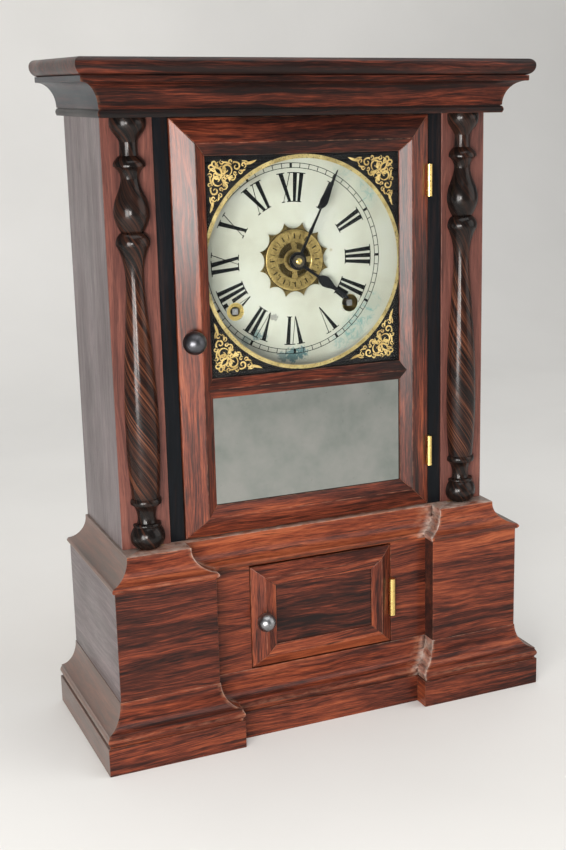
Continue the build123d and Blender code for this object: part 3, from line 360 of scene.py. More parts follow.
def dial_paint(name):
    """Aged cream paint with blue-green and grey stains."""
    n = Nodes(name)
    place = n.position()
    cloud = n.noise(place, 26.0, detail=4, roughness=0.6)
    speck = n.noise(place, 900.0, detail=3, roughness=0.7)
    colour = n.ramp(cloud, [(0.32, (0.30, 0.30, 0.25)), (0.5, (0.345, 0.35, 0.30)),
                            (0.68, (0.37, 0.38, 0.345))])
    colour = n.mix(n.span(speck, 0.60, 0.78, 0.0, 0.35), colour, (0.18, 0.165, 0.13))
    patch = n.noise(place, 330.0, detail=5, roughness=0.68, distortion=1.2)
    level = n.noise(place, 120.0, detail=3, roughness=0.6, distortion=0.8)
    outline = n.span(n.math("ABSOLUTE", n.math("SUBTRACT", level, 0.5)), 0.035, 0.010)
    for across, up, reach, strength, stain in STAINS:
        centre = (across * MM, dial_y * MM, (dial_z + up) * MM)
        core = n.near(place, centre, reach * MM)
        ragged = n.span(n.plus(n.times(core, 0.5), patch), 0.68, 0.74, 0.0, strength)
        if stain == PALE_TEAL:
            ragged = n.times(n.plus(n.times(outline, 0.8), 0.2), strength)
        share = n.times(ragged, n.span(core, 0.0, 0.3))
        colour = n.mix(share, colour, stain)
    crackle = n.noise(place, 2200.0, detail=2)
    n.surface(Base_Color=colour, Roughness=n.span(cloud, 0.3, 0.7, 0.42, 0.6),
              Normal=n.bump(crackle, 0.06, 0.0001))


def ink(name):
    """Black dial paint, a little rubbed."""
    n = Nodes(name)
    rub = n.noise(n.position(), 700.0, detail=4, roughness=0.65)
    n.surface(Base_Color=n.mix(n.span(rub, 0.60, 0.78), (0.004, 0.005, 0.006), (0.14, 0.135, 0.12)),
              Roughness=n.span(rub, 0.3, 0.7, 0.4, 0.6), Specular_IOR_Level=0.1)


def glass(name):
    """Old window glass: clear to lamps, with a faint haze and ripple."""
    n = Nodes(name)
    ripple = n.noise(n.position(), 26.0, detail=2)
    n.surface(Base_Color=(0.96, 0.985, 0.97), Transmission_Weight=1.0, IOR=1.12)
    n.surface(Roughness=n.span(ripple, 0.3, 0.7, 0.0, 0.012))
    clear = n.add("ShaderNodeBsdfTransparent", {"Color": (0.97, 0.985, 0.975)})
    shadow_ray = n.add("ShaderNodeLightPath", {}, output="Is Shadow Ray")
    both = n.add("ShaderNodeMixShader", {0: shadow_ray, 1: n.shader.outputs[0], 2: clear})
    n.link(both, n.output.inputs["Surface"])


def mirror_silver(name):
    """Old silvered glass, grey-green, with cloudy patches."""
    n = Nodes(name)
    place = n.position()
    cloud = n.noise(place, 34.0, detail=4, roughness=0.6)
    spot = n.noise(place, 420.0, detail=4, roughness=0.7)
    colour = n.ramp(cloud, [(0.34, (0.26, 0.285, 0.265)), (0.52, (0.32, 0.335, 0.315)),
                            (0.68, (0.36, 0.365, 0.345))])
    colour = n.mix(n.span(spot, 0.66, 0.74, 0.0, 0.45), colour, (0.09, 0.09, 0.08))
    n.surface(Base_Color=colour, Roughness=n.span(cloud, 0.3, 0.7, 0.03, 0.09))
    n.surface(Metallic=1.0)


wood("rosewood", ROSEWOOD)
wood("rosewood_top", ROSEWOOD, source="x", tone=-0.09)
wood("rosewood_stile", ROSEWOOD, coat=0.35, coat_roughness=0.22)
wood("rosewood_crown", ROSEWOOD, coat=0.1, specular=0.08, sheen_grey=CROWN_SHEEN_GREY)
wood("column_board", COLUMN_BOARD, roughness=0.46, specular=0.25, veins=0.4, pores=0.4)
wood("case_side", CASE_SIDE, coat=0.4, coat_roughness=0.24, specular=0.3, veins=0.3, pores=0.4)
wood("jamb", JAMB, coat=0.05, specular=0.08, pores=0.2, worn=(0.06, 0.035, 0.025))
wood("pine", PINE, coat=0.0, roughness=0.62, veins=0.0, pores=0.25, worn=(0.5, 0.36, 0.22))
wood("pine_z", PINE, source="z", coat=0.0, roughness=0.62, veins=0.0, pores=0.25)
turned_wood("left_turning", -column_x)
turned_wood("right_turning", column_x)
metal("brass", (0.76, 0.55, 0.20), (0.33, 0.20, 0.06), 0.30)
metal("bright_brass", (0.88, 0.66, 0.24), (0.52, 0.34, 0.09), 0.24, share=0.4)
metal("alarm_gold", (0.58, 0.43, 0.17), (0.17, 0.115, 0.045), 0.30, scale=330.0, share=0.85)
# The alarm disc's star tips are nearly black: tarnish, and painted shade round the raised plate
metal("alarm_tips", (0.22, 0.16, 0.065), (0.006, 0.006, 0.005), 0.45, scale=130.0, share=1.0)
metal("steel", (0.50, 0.50, 0.50), (0.20, 0.18, 0.16), 0.32)
metal("blued_steel", (0.030, 0.031, 0.036), (0.012, 0.011, 0.011), 0.36)
metal("dark_knob", (0.120, 0.122, 0.135), (0.035, 0.034, 0.037), 0.30)
metal("grey_knob", (0.300, 0.300, 0.310), (0.110, 0.108, 0.112), 0.28)
metal("hub", (0.15, 0.13, 0.10), (0.030, 0.026, 0.022), 0.34)
metal("shaded_brass", (0.085, 0.062, 0.028), (0.010, 0.008, 0.006), 0.50, share=0.9)
metal("bell_metal", (0.62, 0.46, 0.24), (0.30, 0.21, 0.11), 0.26)
gilding("gilding", (0.40, 0.26, 0.085), (0.72, 0.53, 0.22), 0.65)
gilding("gilt_ring", (0.27, 0.20, 0.075), (0.46, 0.36, 0.16), 0.55)
black_paint("black_paint")
dial_paint("dial_paint")
ink("ink")
glass("glass")
mirror_silver("mirror")


# Meshes

WELD = 1e-6
TINY = 1e-9
FLAT_ANGLE, EDGE_ANGLE, SHADE_ANGLE = (math.radians(degrees) for degrees in (1, 12, 50))
SHORTEST_EDGE = 3.0
# Negative wear that paints shade on the breakfront's inner returns
RETURN_SHADE = -0.85
# How far the grain moves on from one board to the next, in metres
GRAIN_SHIFT = (0.37, 0.61, 0.23)


class Shape:
    """Points, faces and wood values of one piece, gathered in metres."""

    def __init__(self):
        self.points, self.faces, self.grain = [], [], []
        self.wood = {"wear_and_shade": [], "tone": [], "fade_and_sheen": []}

    def take(self, bm, worn, direction="x", offset=0, tone=0.0, fade_and_sheen=0.0):
        """Adds a finished mesh. Worn gives the wear of its worn points; a negative value there darkens them
        instead, which mostly paints shade.
        """
        bm.verts.ensure_lookup_table()
        bm.verts.index_update()
        start = len(self.points)
        order = GRAIN_ORDER[direction]
        for vert in bm.verts:
            self.points.append(vert.co.copy())
            self.grain.append([vert.co[i] + shift * offset for i, shift in zip(order, GRAIN_SHIFT)])
            for key, value in (("wear_and_shade", worn.get(vert, 0.0)), ("tone", tone), ("fade_and_sheen", fade_and_sheen)):
                self.wood[key].append(value)
        for face in bm.faces:
            self.faces.append([start + vert.index for vert in face.verts])
        bm.free()

    def piece(self, name, material, body, replaced=(), smooth=False):
        """Makes the object. Only a smooth one carries the wood values."""
        mesh = bpy.data.meshes.new(name)
        mesh.from_pydata(self.points, [], self.faces)
        if smooth:
            grain = mesh.attributes.new("grain", "FLOAT_VECTOR", "POINT")
            grain.data.foreach_set("vector", [value for row in self.grain for value in row])
            for key, values in self.wood.items():
                mesh.attributes.new(key, "FLOAT", "POINT").data.foreach_set("value", values)
        mesh.materials.append(materials[material])
        mesh.update()
        made = bpy.data.objects.new(name, mesh)
        bpy.context.scene.collection.objects.link(made)
        if smooth:
            mesh.shade_smooth()
            mesh.set_sharp_from_angle(angle=SHADE_ANGLE)
            normals = made.modifiers.new("normals", "WEIGHTED_NORMAL")
            normals.keep_sharp = True
        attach(made, body)
        if replaced:
            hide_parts(*replaced)


def closed_solids(node):
    """A CAD node's separate solids, each as its faces' corners in steps of the weld distance."""
    mesh = nodes[node].data
    keys = [tuple(round(value / WELD) for value in vert.co) for vert in mesh.vertices]
    waiting, faces, solids = {}, [], []
    for polygon in mesh.polygons:
        corners = [keys[index] for index in polygon.vertices]
        faces.append(corners)
        for first, second in zip(corners, corners[1:] + corners[:1]):
            if waiting.get((second, first)):
                waiting[second, first] -= 1
                if not waiting[second, first]:
                    del waiting[second, first]
            else:
                waiting[first, second] = waiting.get((first, second), 0) + 1
        if not waiting:
            solids.append(faces)
            faces = []
    return solids


def solid_mesh(faces, edge_width):
    """One solid with clean flat faces and rounded edges, and its worn points."""
    bm = bmesh.new()
    verts = {}
    for corners in faces:
        if len(set(corners)) < 3:
            continue
        for corner in corners:
            if corner not in verts:
                verts[corner] = bm.verts.new([value * WELD for value in corner])
        bm.faces.new([verts[corner] for corner in corners])
    bmesh.ops.dissolve_limit(bm, angle_limit=FLAT_ANGLE, verts=bm.verts, edges=bm.edges)
    sharp = [edge for edge in bm.edges if edge.is_manifold and edge.calc_length() > SHORTEST_EDGE * MM
             and edge.calc_face_angle() > EDGE_ANGLE]
    made = bmesh.ops.bevel(bm, geom=sharp, offset=edge_width * MM, segments=2, profile=0.5, affect="EDGES",
                           clamp_overlap=False)
    strips = set(made["faces"])
    worn = {vert: 1.0 for vert in made["verts"] if all(face in strips for face in vert.link_faces)}
    return bm, worn


def return_shade(bm):
    """Painted shade, as a negative wear, on the flat side of a board that faces the middle of the clock."""
    bm.normal_update()
    inner = [face for face in bm.faces if face.normal.x * face.calc_center_median().x < 0
             and abs(face.normal.x) > 0.99]
    return {vert: RETURN_SHADE for face in inner for vert in face.verts}


def boards(node, material, directions, edge_width=0.35, tones=(0.0,), fade_and_sheen=(0.0,),
           dark_return=False):
    """Stands for a CAD node of flat-sided boards, with one grain direction, tone and greying per solid; the
    greying is faded veneer and a painted reflection.
    """
    shape = Shape()
    for index, faces in enumerate(closed_solids(node)):
        bm, worn = solid_mesh(faces, edge_width)
        if dark_return:
            worn.update(return_shade(bm))
        shape.take(bm, worn, directions[index % len(directions)], index + len(node),
                   tones[index % len(tones)], fade_and_sheen[index % len(fade_and_sheen)])
    shape.piece(node + "_boards", material, node_body[node], replaced=(node,), smooth=True)


def arc(centre, width, rise, first, last, steps):
    """Points of an elliptical arc as reach, height and no wear."""
    angles = [math.radians(first + (last - first) * step / steps) for step in range(steps + 1)]
    return [(centre[0] + width * math.cos(a), centre[1] + rise * math.sin(a), 0.0) for a in angles]


def bulge(low, high, reach, crown, steps, wear_and_shade):
    """Points of a swelling bead between two heights, rubbed pale along its crest, which also paints the
    crest's highlight.
    """
    points = []
    for step in range(steps + 1):
        share = step / steps
        swell = math.sin(math.pi * share)
        points.append((reach + (crown - reach) * swell, low + (high - low) * share, wear_and_shade * swell ** 2))
    return points


def skin(bm, rings, closed=False):
    """Joins rings of points by faces, and caps the ends where the row of rings isn't closed."""
    pairs = list(zip(rings, rings[1:]))
    if closed:
        pairs.append((rings[-1], rings[0]))
    else:
        bm.faces.new(rings[0])
        bm.faces.new(rings[-1][::-1])
    for first, second in pairs:
        for k in range(len(first)):
            bm.faces.new((first[k - 1], first[k], second[k], second[k - 1]))
    bmesh.ops.recalc_face_normals(bm, faces=bm.faces)


def mitre_stations(length, start_wear, end_wear):
    """Places along a mitred length: a distance, whether it counts from the end, and the wear there."""
    rows = []
    short = 20.0
    rest = 0.7 * min(start_wear[0], end_wear[0]) if length < short else 0.0
    for at_end, (strength, reach) in ((0, start_wear), (1, end_wear)):
        reach = min(reach, 0.4 * length)
        steps = [(0.0, strength), (0.25 * reach, 0.25 * rest + 0.75 * strength), (reach, rest)]
        if at_end:
            steps = [(-step, wear_and_shade) for step, wear_and_shade in reversed(steps)]
        rows += [(step, at_end, wear_and_shade) for step, wear_and_shade in steps]
    return rows


PLAIN_MITRE = (0.6, 2.0)


def moulding(node, profile, path, offset, tones, fade_and_sheen, chipped=None, darkened=(), material="rosewood"):
    """Stands for a CAD node of mitred lengths, with fine steps near the mitres for their wear.

    Chipped gives the wear and its reach at corners of the path that lost their varnish. Where the
    profile is rubbed, the listed lengths are dark instead; on the cornice crown this paints shade.
    """
    shape = Shape()
    chipped = chipped or {}
    points = [Vector(point) for point in path]
    along = [(b - a).normalized() for a, b in zip(points, points[1:])]
    turns = [0.0] + [a.cross(b) for a, b in zip(along, along[1:])] + [0.0]
    for index, direction in enumerate(along):
        start, end = points[index], points[index + 1]
        outward = Vector((direction.y, -direction.x))
        bm = bmesh.new()
        worn = {}
        rings = []
        wears = [chipped.get(index + at_end, PLAIN_MITRE) for at_end in (0, 1)]
        for step, at_end, mitre_wear in mitre_stations((end - start).length, *wears):
            base = end if at_end else start
            turn = turns[index + 1] if at_end else -turns[index]
            if not turn:
                mitre_wear = 0.0
            ring = []
            for reach, height, wear_and_shade in profile:
                spot = base + outward * reach + direction * (turn * reach + step)
                vert = bm.verts.new((spot.x * MM, spot.y * MM, height * MM))
                # Rubbed points on the listed lengths are darkened instead
                if index in darkened and wear_and_shade < 1:
                    wear_and_shade = -wear_and_shade
                worn[vert] = max(wear_and_shade, mitre_wear) if mitre_wear else wear_and_shade
                ring.append(vert)
            rings.append(ring)
        skin(bm, rings)
        grain_way = "x" if abs(direction.x) > 0.5 else "y"
        shape.take(bm, worn, grain_way, offset + index, tones[index], fade_and_sheen[index])
    shape.piece(node + "_run", material, node_body[node], replaced=(node,), smooth=True)


def prism(shape, outline, front, back):
    """Adds a thin plate on an outline seen from the front, in millimetres about the dial's centre."""
    bm = bmesh.new()
    fronts = [bm.verts.new((x * MM, front * MM, (dial_z + z) * MM)) for x, z in outline]
    backs = [bm.verts.new((x * MM, back * MM, (dial_z + z) * MM)) for x, z in outline]
    skin(bm, [fronts, backs])
    shape.take(bm, {})


def strip(shape, lines, front, back, closed=False):
    """Adds a plate between two lines of points that run side by side."""
    bm = bmesh.new()
    rows = []
    for left, right in lines:
        rows.append([bm.verts.new((x * MM, y * MM, (dial_z + z) * MM))
                     for (x, z), y in ((left, front), (right, front), (right, back), (left, back))])
    skin(bm, rows, closed)
    shape.take(bm, {})


def polar(radius, degrees):
    """Point at a clockwise angle from the top."""
    angle = math.radians(degrees)
    return radius * math.sin(angle), radius * math.cos(angle)


def band(shape, inner, outer, front, back, centre=(0.0, 0.0), steps=180):
    """Adds a flat ring."""
    lines = []
    for step in range(steps):
        near = polar(inner, 360 * step / steps)
        far = polar(outer, 360 * step / steps)
        lines.append([(centre[0] + x, centre[1] + z) for x, z in (near, far)])
    strip(shape, lines, front, back, closed=True)


# Wooden pieces

# Tones shift the wood darker below 0 and lighter above it. The greying of the side runs goes from 0 to 1:
# faded veneer and a painted reflection of the pale room.
DARK, DEEP, WARM = -0.06, -0.03, 0.03
SKIRT_FADE_AND_SHEEN, BASE_FADE_AND_SHEEN, CROWN_FADE_AND_SHEEN = 0.7, 0.74, 0.72
DOOR_EDGE = 0.45
boards("base_sides", "case_side", "y")
# The pedestals' inner returns get painted shade
boards("pedestal_fronts", "rosewood", "x", tones=(-0.035, 0.01), dark_return=True)
boards("base_front", "rosewood", "x")
boards("skirt", "rosewood", "yxyxyxy", tones=(0.0, 0.01, 0.0, 0.0, 0.0, DEEP, 0.0),
       fade_and_sheen=(SKIRT_FADE_AND_SHEEN, 0.0, 0.0, 0.0, 0.0, 0.0, SKIRT_FADE_AND_SHEEN))
boards("case_sides", "case_side", "z")
boards("case_front_frame", "column_board", "zzx", tones=(0.02, 0.02, 0.0))
boards("door_jambs", "jamb", "z")
boards("door_stiles", "rosewood_stile", "z", edge_width=DOOR_EDGE, tones=(0.0, DEEP))
boards("door_rails", "rosewood", "x", edge_width=DOOR_EDGE, tones=(DARK, DARK, -0.02))
boards("base_door_frame", "rosewood", "zzxx", edge_width=DOOR_EDGE, tones=(WARM, 0.0, 0.0, WARM))
boards("base_door_panel", "rosewood", "x", tones=(DARK,))
boards("base_back", "pine", "x")
boards("case_back", "pine", "z")

# Mouldings: each profile's points are the reach from its path, the height and the wear, where a negative
# wear paints shade
base_path = [
    (-die_half, back_y), (-die_half, die_y), (-breakfront_half, die_y), (-breakfront_half, recess_y),
    (breakfront_half, recess_y), (breakfront_half, die_y), (die_half, die_y), (die_half, back_y),
]
base_fade_and_sheen = [BASE_FADE_AND_SHEEN, 0.0, 0.0, 0.0, 0.0, 0.0, BASE_FADE_AND_SHEEN]
foot_neck = 11.1
foot_bead_low = skirt_top + 1.5
foot_bead_high = foot_bead_low + 5.5
foot_reach = greatest("skirt", "x") - die_half
foot_cove_rise = 16.2
nose = 11.3
foot_lip = 0.4
# The point under the foot's bead has a negative wear: painted shade in the groove there
foot_profile = [(0.0, die_low, 0.0), (0.0, skirt_top, 0.0), (foot_neck, skirt_top, 0.0),
                (foot_neck, foot_bead_low, -0.8)]
foot_profile += bulge(foot_bead_low, foot_bead_high, nose, foot_reach, 10, 0.45)
foot_profile += arc((nose, die_low), nose - foot_lip, foot_cove_rise, 270, 180, 22)[:-1]
foot_profile += [(foot_lip, die_low - 0.7, 0.2), (foot_lip, die_low, 1.3)]
foot_chips = {2: (1.3, 3.0), 3: (1.3, 3.0), 4: (1.8, 11.0), 5: (1.8, 2.5)}
foot_tones = [0.0, -0.02, 0.0, -0.01, 0.0, 0.01, 0.0]
moulding("foot_moulding", foot_profile, base_path, 3, foot_tones, base_fade_and_sheen, foot_chips)

cap_inset = 25.5
cap_rise = 13.3
cap_top = ledge_z - 1.5
setback = 12.0
arris = 0.3
cap_lip = 1.0
cap_reach = greatest("cap_moulding", "x") - die_half
cap_bead_high = die_top + 3.5
dust = 1.6
cap_profile = [(-cap_inset, die_top, 0.0), (-cap_inset, ledge_z, dust), (-setback - arris, ledge_z, dust),
               (-setback, ledge_z - arris, 1.2), (-setback, cap_top + arris, 0.3)]
cap_profile += arc((cap_lip, cap_top), setback + cap_lip, cap_rise, 180, 270, 20)
cap_profile += bulge(die_top, cap_bead_high, cap_lip, cap_reach, 8, 0.9)[::-1]
cap_chips = {2: (1.6, 3.0), 3: (1.4, 4.0), 4: (1.85, 14.0), 5: (1.9, 2.5)}
cap_tones = [0.0, WARM, 0.0, 0.07, 0.0, WARM, 0.0]
# On the recess and the right-hand lengths the bead's crest is darker instead of rubbed pale
moulding("cap_moulding", cap_profile, base_path, 11, cap_tones, base_fade_and_sheen, cap_chips, darkened=(3, 4, 5, 6))

crown_reach = 12.0
crown_half = greatest("cornice_crown", "x") - crown_reach
crown_y = least("cornice_crown", "y") + crown_reach
crown_path = [(-crown_half, back_y), (-crown_half, crown_y), (crown_half, crown_y), (crown_half, back_y)]
crown_back = -5.1
crown_bead_back = -0.8
crown_bead_high = soffit_z + 4.3
crown_cove_low = soffit_z + 5.0
crown_cove_rise = 15.5
crown_cove_lip = 11.2
crown_cove_top = crown_cove_low + crown_cove_rise
crown_fillet = crown_cove_top + 0.4
quirk = -1.5
# Painted shade in the quirk and on the bead under the cornice's cove, as a wear that the listed lengths
# turn dark
cove_shade = 0.9
crown_profile = [(crown_back, soffit_z, 0.0), (crown_back, crown_top, 0.0), (crown_reach, crown_top, 0.0),
                 (crown_reach, crown_fillet, 0.0), (crown_reach - 0.4, crown_cove_top, 0.6)]
crown_profile += arc((crown_cove_lip, crown_cove_low), crown_cove_lip - crown_bead_back, crown_cove_rise,
                     90, 180, 22)
crown_profile += [(quirk, crown_cove_low - 0.1, cove_shade), (quirk, crown_bead_high + 0.1, cove_shade)]
crown_bead = bulge(soffit_z, crown_bead_high, crown_bead_back, 0.0, 8, cove_shade)
crown_profile += [(reach, height, cove_shade) for reach, height, _ in crown_bead[::-1]]
crown_fade_and_sheen = [CROWN_FADE_AND_SHEEN, 0.0, CROWN_FADE_AND_SHEEN]
crown_tones = [DARK, -0.085, DARK]
moulding("cornice_crown", crown_profile, crown_path, 23, crown_tones, crown_fade_and_sheen, darkened=(0, 1, 2),
         material="rosewood_crown")

# Dial numerals and minute track

LETTER_LOW = 38.2
LETTER_HIGH = 57.5
LETTER_MIDDLE = 48.0
SERIF = 0.032
# Each letter's width, its strokes and its serifs. Heights are shares of the letter's height.
LETTERS = {
    "I": (2.5, [[(-1.25, 0), (1.25, 0), (1.25, 1), (-1.25, 1)]], [(-1.25, 1.25, 0), (-1.25, 1.25, 1)]),
    "V": (6.6, [[(0.3, 0), (1.1, 0), (-0.7, 1), (-3.3, 1)], [(0.7, 0), (1.1, 0), (3.3, 1), (2.85, 1)]],
          [(-3.3, -0.7, 1), (2.6, 3.5, 1)]),
    "X": (7.4, [[(1.1, 0), (3.7, 0), (-1.1, 1), (-3.7, 1)], [(-3.5, 0), (-3.0, 0), (3.5, 1), (3.0, 1)]],
          [(-3.6, -2.9, 0), (1.1, 3.7, 0), (-3.7, -1.1, 1), (2.9, 3.6, 1)]),
}
LETTER_GAP = 1.4
SERIF_REACH = 1.1
HOURS = ["XII", "I", "II", "III", "IIII", "V", "VI", "VII", "VIII", "IX", "X", "XI"]
PAINT_FRONT = dial_y - 0.10
PAINT_BACK = dial_y - 0.01
# Serifs and ticks lie a little lower than the strokes and rings that they cross
SERIF_SINK = 0.01
TICK_SINK = 0.02


def letter_point(x, height, hour_angle):
    """Point of the dial for a place across a numeral and a share of its height."""
    radius = LETTER_LOW + (LETTER_HIGH - LETTER_LOW) * height
    return polar(radius, hour_angle + math.degrees(x / LETTER_MIDDLE))


def clear_of_holes(point):
    """Whether a point of the dial is outside both winding holes."""
    return math.hypot(abs(point[0]) - winding_x, point[1] - (winding_z - dial_z)) > winding_hole


def stroke_part(stroke, low, high):
    """The part of a letter's stroke between two shares of its height."""
    foot_left, foot_right, head_right, head_left = stroke
    left = head_left[0] - foot_left[0]
    right = head_right[0] - foot_right[0]
    return [(foot_left[0] + left * low, low), (foot_right[0] + right * low, low),
            (foot_right[0] + right * high, high), (foot_left[0] + left * high, high)]


def painted_spans(stroke, middle, hour_angle):
    """Shares of a stroke's height between which it crosses no winding hole."""
    steps = 60
    spans = []
    for step in range(steps):
        low, high = step / steps, (step + 1) / steps
        corners = [letter_point(middle + x, height, hour_angle)
                   for x, height in stroke_part(stroke, low, high)]
        if not all(clear_of_holes(corner) for corner in corners):
            continue
        if spans and abs(spans[-1][1] - low) < TINY:
            spans[-1][1] = high
        else:
            spans.append([low, high])
    return spans


numerals = Shape()
for hour, text in enumerate(HOURS):
    hour_angle = 30 * hour
    width = sum(LETTERS[letter][0] for letter in text) + LETTER_GAP * (len(text) - 1)
    place = -width / 2
    for letter in text:
        advance, strokes, serifs = LETTERS[letter]
        middle = place + advance / 2
        for stroke in strokes:
            for low, high in painted_spans(stroke, middle, hour_angle):
                outline = [letter_point(middle + x, height, hour_angle) for x, height in
                           stroke_part(stroke, low, high)]
                prism(numerals, outline, PAINT_FRONT, PAINT_BACK)
        for left, right, height in serifs:
            inside = SERIF if height == 0 else -SERIF
            corners = [(left - SERIF_REACH, height), (right + SERIF_REACH, height),
                       (right + SERIF_REACH, height + inside), (left - SERIF_REACH, height + inside)]
            outline = [letter_point(middle + x, level, hour_angle) for x, level in corners]
            if all(clear_of_holes(point) for point in outline):
                prism(numerals, outline, PAINT_FRONT + SERIF_SINK, PAINT_BACK)
        place += advance + LETTER_GAP
numerals.piece("dial_numerals", "ink", "case")

TRACK_OUTER = 63.5
TRACK_INNER = 60.4
TRACK_LINE_HALF = 0.22
HOUR_TICK_HALF = 0.85
MINUTE_TICK_HALF = 0.24
track = Shape()
for radius in (TRACK_OUTER, TRACK_INNER):
    band(track, radius - TRACK_LINE_HALF, radius + TRACK_LINE_HALF, PAINT_FRONT, PAINT_BACK)
for minute in range(60):
    half = math.degrees((MINUTE_TICK_HALF if minute % 5 else HOUR_TICK_HALF) / TRACK_INNER)
    outline = [polar(radius, 6 * minute + side) for radius, side in
               ((TRACK_INNER, -half), (TRACK_INNER, half), (TRACK_OUTER, half), (TRACK_OUTER, -half))]
    prism(track, outline, PAINT_FRONT + TICK_SINK, PAINT_BACK)
track.piece("dial_minute_track", "ink", "case")

# Painted glass: black surround, gilt ring and gilt corner scrolls behind the pane

MASK_INNER = 69.3
GILT_FRONT = pane_back + 0.02
GILT_BACK = pane_back + 0.06
MASK_FRONT = pane_back + 0.07
MASK_BACK = pane_back + 0.15
RING_INNER = 67.4
RING_OUTER = 70.0
SCROLL_MARGIN = 1.2
LAYER_STEP = 0.0007


def pane_edge(degrees):
    """Where a line from the dial's centre leaves the pane."""
    x, z = polar(1.0, degrees)
    reaches = []
    if abs(x) > TINY:
        reaches.append(pane_half / abs(x))
    if z > TINY:
        reaches.append((pane_high - dial_z) / z)
    if z < -TINY:
        reaches.append((dial_z - pane_low) / -z)
    reach = min(reaches)
    return x * reach, z * reach


mask = Shape()
corner_angles = [math.degrees(math.atan2(x, z)) % 360 for x in (-pane_half, pane_half)
                 for z in (pane_high - dial_z, pane_low - dial_z)]
mask_angles = sorted([2.0 * step for step in range(180)] + corner_angles)
strip(mask, [(polar(MASK_INNER, a), pane_edge(a)) for a in mask_angles], MASK_FRONT, MASK_BACK, closed=True)
mask.piece("glass_black_surround", "black_paint", "upper_door")

gilt_ring = Shape()
band(gilt_ring, RING_INNER, RING_OUTER, GILT_FRONT, GILT_BACK)
gilt_ring.piece("glass_gilt_ring", "gilt_ring", "upper_door")


def ribbon(shape, points, widths, to_dial, layer):
    """Adds a tapering flat line along a corner's own points, a hair behind the layers before it."""
    lines = []
    for k, (u, v) in enumerate(points):
        before, after = points[max(k - 1, 0)], points[min(k + 1, len(points) - 1)]
        way = Vector((after[0] - before[0], after[1] - before[1])).normalized()
        side = Vector((-way.y, way.x)) * widths[k] / 2
        lines.append((to_dial(u + side.x, v + side.y), to_dial(u - side.x, v - side.y)))
    strip(shape, lines, GILT_FRONT + LAYER_STEP * layer, GILT_BACK)


def curl(centre, radius, first, turn, width):
    """Points and widths of a scroll that winds in to an eye."""
    steps = 26
    points, widths = [], []
    for step in range(steps + 1):
        share = step / steps
        angle = math.radians(first + turn * share)
        reach = radius * (1 - 0.78 * share)
        points.append((centre[0] + reach * math.cos(angle), centre[1] + reach * math.sin(angle)))
        widths.append(width * (0.45 + 0.75 * math.sin(math.pi * min(1.0, share * 1.15)) + 0.2 * share))
    return points, widths


def leaf(root, degrees, length, width, bend):
    """Points and widths of a curved pointed leaf."""
    steps = 10
    points, widths = [], []
    for step in range(steps + 1):
        share = step / steps
        angle = math.radians(degrees + bend * share)
        reach = length * share
        points.append((root[0] + reach * math.cos(angle), root[1] + reach * math.sin(angle)))
        widths.append(max(0.12, width * math.sin(math.pi * (0.12 + 0.88 * share)) ** 0.8))
    return points, widths


# One arm of a corner's scroll work, drawn along u with v towards the dial. The other arm mirrors it.
# Curls have a centre, radius, first angle, turn and width, leaves a root, angle, length, width and bend.
ARM_CURLS = [
    ((7.4, 10.6), 5.0, 200, 420, 1.05), ((14.0, 7.6), 4.0, 60, -400, 0.95),
    ((20.6, 5.8), 2.9, 220, 400, 0.85), ((17.6, 12.4), 2.5, 300, 380, 0.75),
    ((25.4, 5.0), 2.0, 80, -380, 0.75), ((6.2, 3.6), 2.3, 20, 390, 0.8),
    ((12.4, 13.6), 1.7, 120, 400, 0.65), ((11.2, 3.0), 1.6, 250, -380, 0.65),
    ((17.0, 2.6), 1.5, 70, 380, 0.6), ((23.6, 9.2), 1.5, 200, -390, 0.6), ((19.8, 10.0), 1.4, 30, 400, 0.6),
]
ARM_LEAVES = [
    ((26.0, 4.6), -6, 8.6, 1.7, -10), ((22.6, 8.2), 28, 4.6, 1.2, -40), ((11.6, 3.2), -8, 6.4, 1.2, 24),
    ((11.0, 14.2), 48, 5.0, 1.4, 20), ((18.4, 3.0), -4, 5.0, 1.0, 20), ((13.6, 11.6), 20, 4.4, 1.2, 36),
    ((24.4, 2.6), -4, 4.6, 0.9, 14), ((3.0, 6.6), 58, 4.4, 1.1, -30), ((9.4, 6.4), 40, 4.2, 1.2, 30),
]
arm_strokes = [curl(*row) for row in ARM_CURLS] + [leaf(*row) for row in ARM_LEAVES]

gilt = Shape()
for side in (-1, 1):
    for edge, upward in ((glass_high - dial_z, 1), (glass_low - dial_z, -1)):
        for swapped in (0, 1):
            def to_dial(u, v, side=side, edge=edge, upward=upward, swapped=swapped):
                across, down = (v, u) if swapped else (u, v)
                x = side * (opening_half - SCROLL_MARGIN - across)
                return x, edge - upward * (SCROLL_MARGIN + down)

            for layer, (points, widths) in enumerate(arm_strokes):
                ribbon(gilt, points, widths, to_dial, layer + swapped * len(arm_strokes))
gilt.piece("glass_gilt_work", "gilding", "upper_door")

# Alarm disc: stamped plate with spokes and hour marks, over dark openings

DISC_FRONT = least("alarm_disc", "y")
DISC_BACK = DISC_FRONT + 1.0
# Radius and rise of the plate's rim and hub, which sink a little into the disc
SINK = 0.05
RIM_PROFILE = [(11.9, -SINK), (12.0, 0.45), (12.5, 0.75), (13.6, 0.55), (15.2, 0.60), (18.6, 0.95),
               (19.6, 1.05), (20.3, 0.80), (20.4, -SINK)]
HUB_PROFILE = [(5.2, -SINK), (5.3, 0.45), (6.2, 0.65), (7.4, 0.40), (7.6, -SINK)]
# Radius and half width of a spoke's ends
SPOKE_ROOT = (7.2, 1.5)
SPOKE_END = (12.2, 2.1)
SPOKE_RISE = 0.35
MARK_INNER, MARK_OUTER = 14.4, 17.8
MARK_RISE, MARK_ROOT = 0.98, 0.40
# Half angle of the hour and half-hour marks, in degrees
MARK_HALVES = (1.6, 0.8)
OPENING_INNER, OPENING_OUTER = 5.6, 12.0
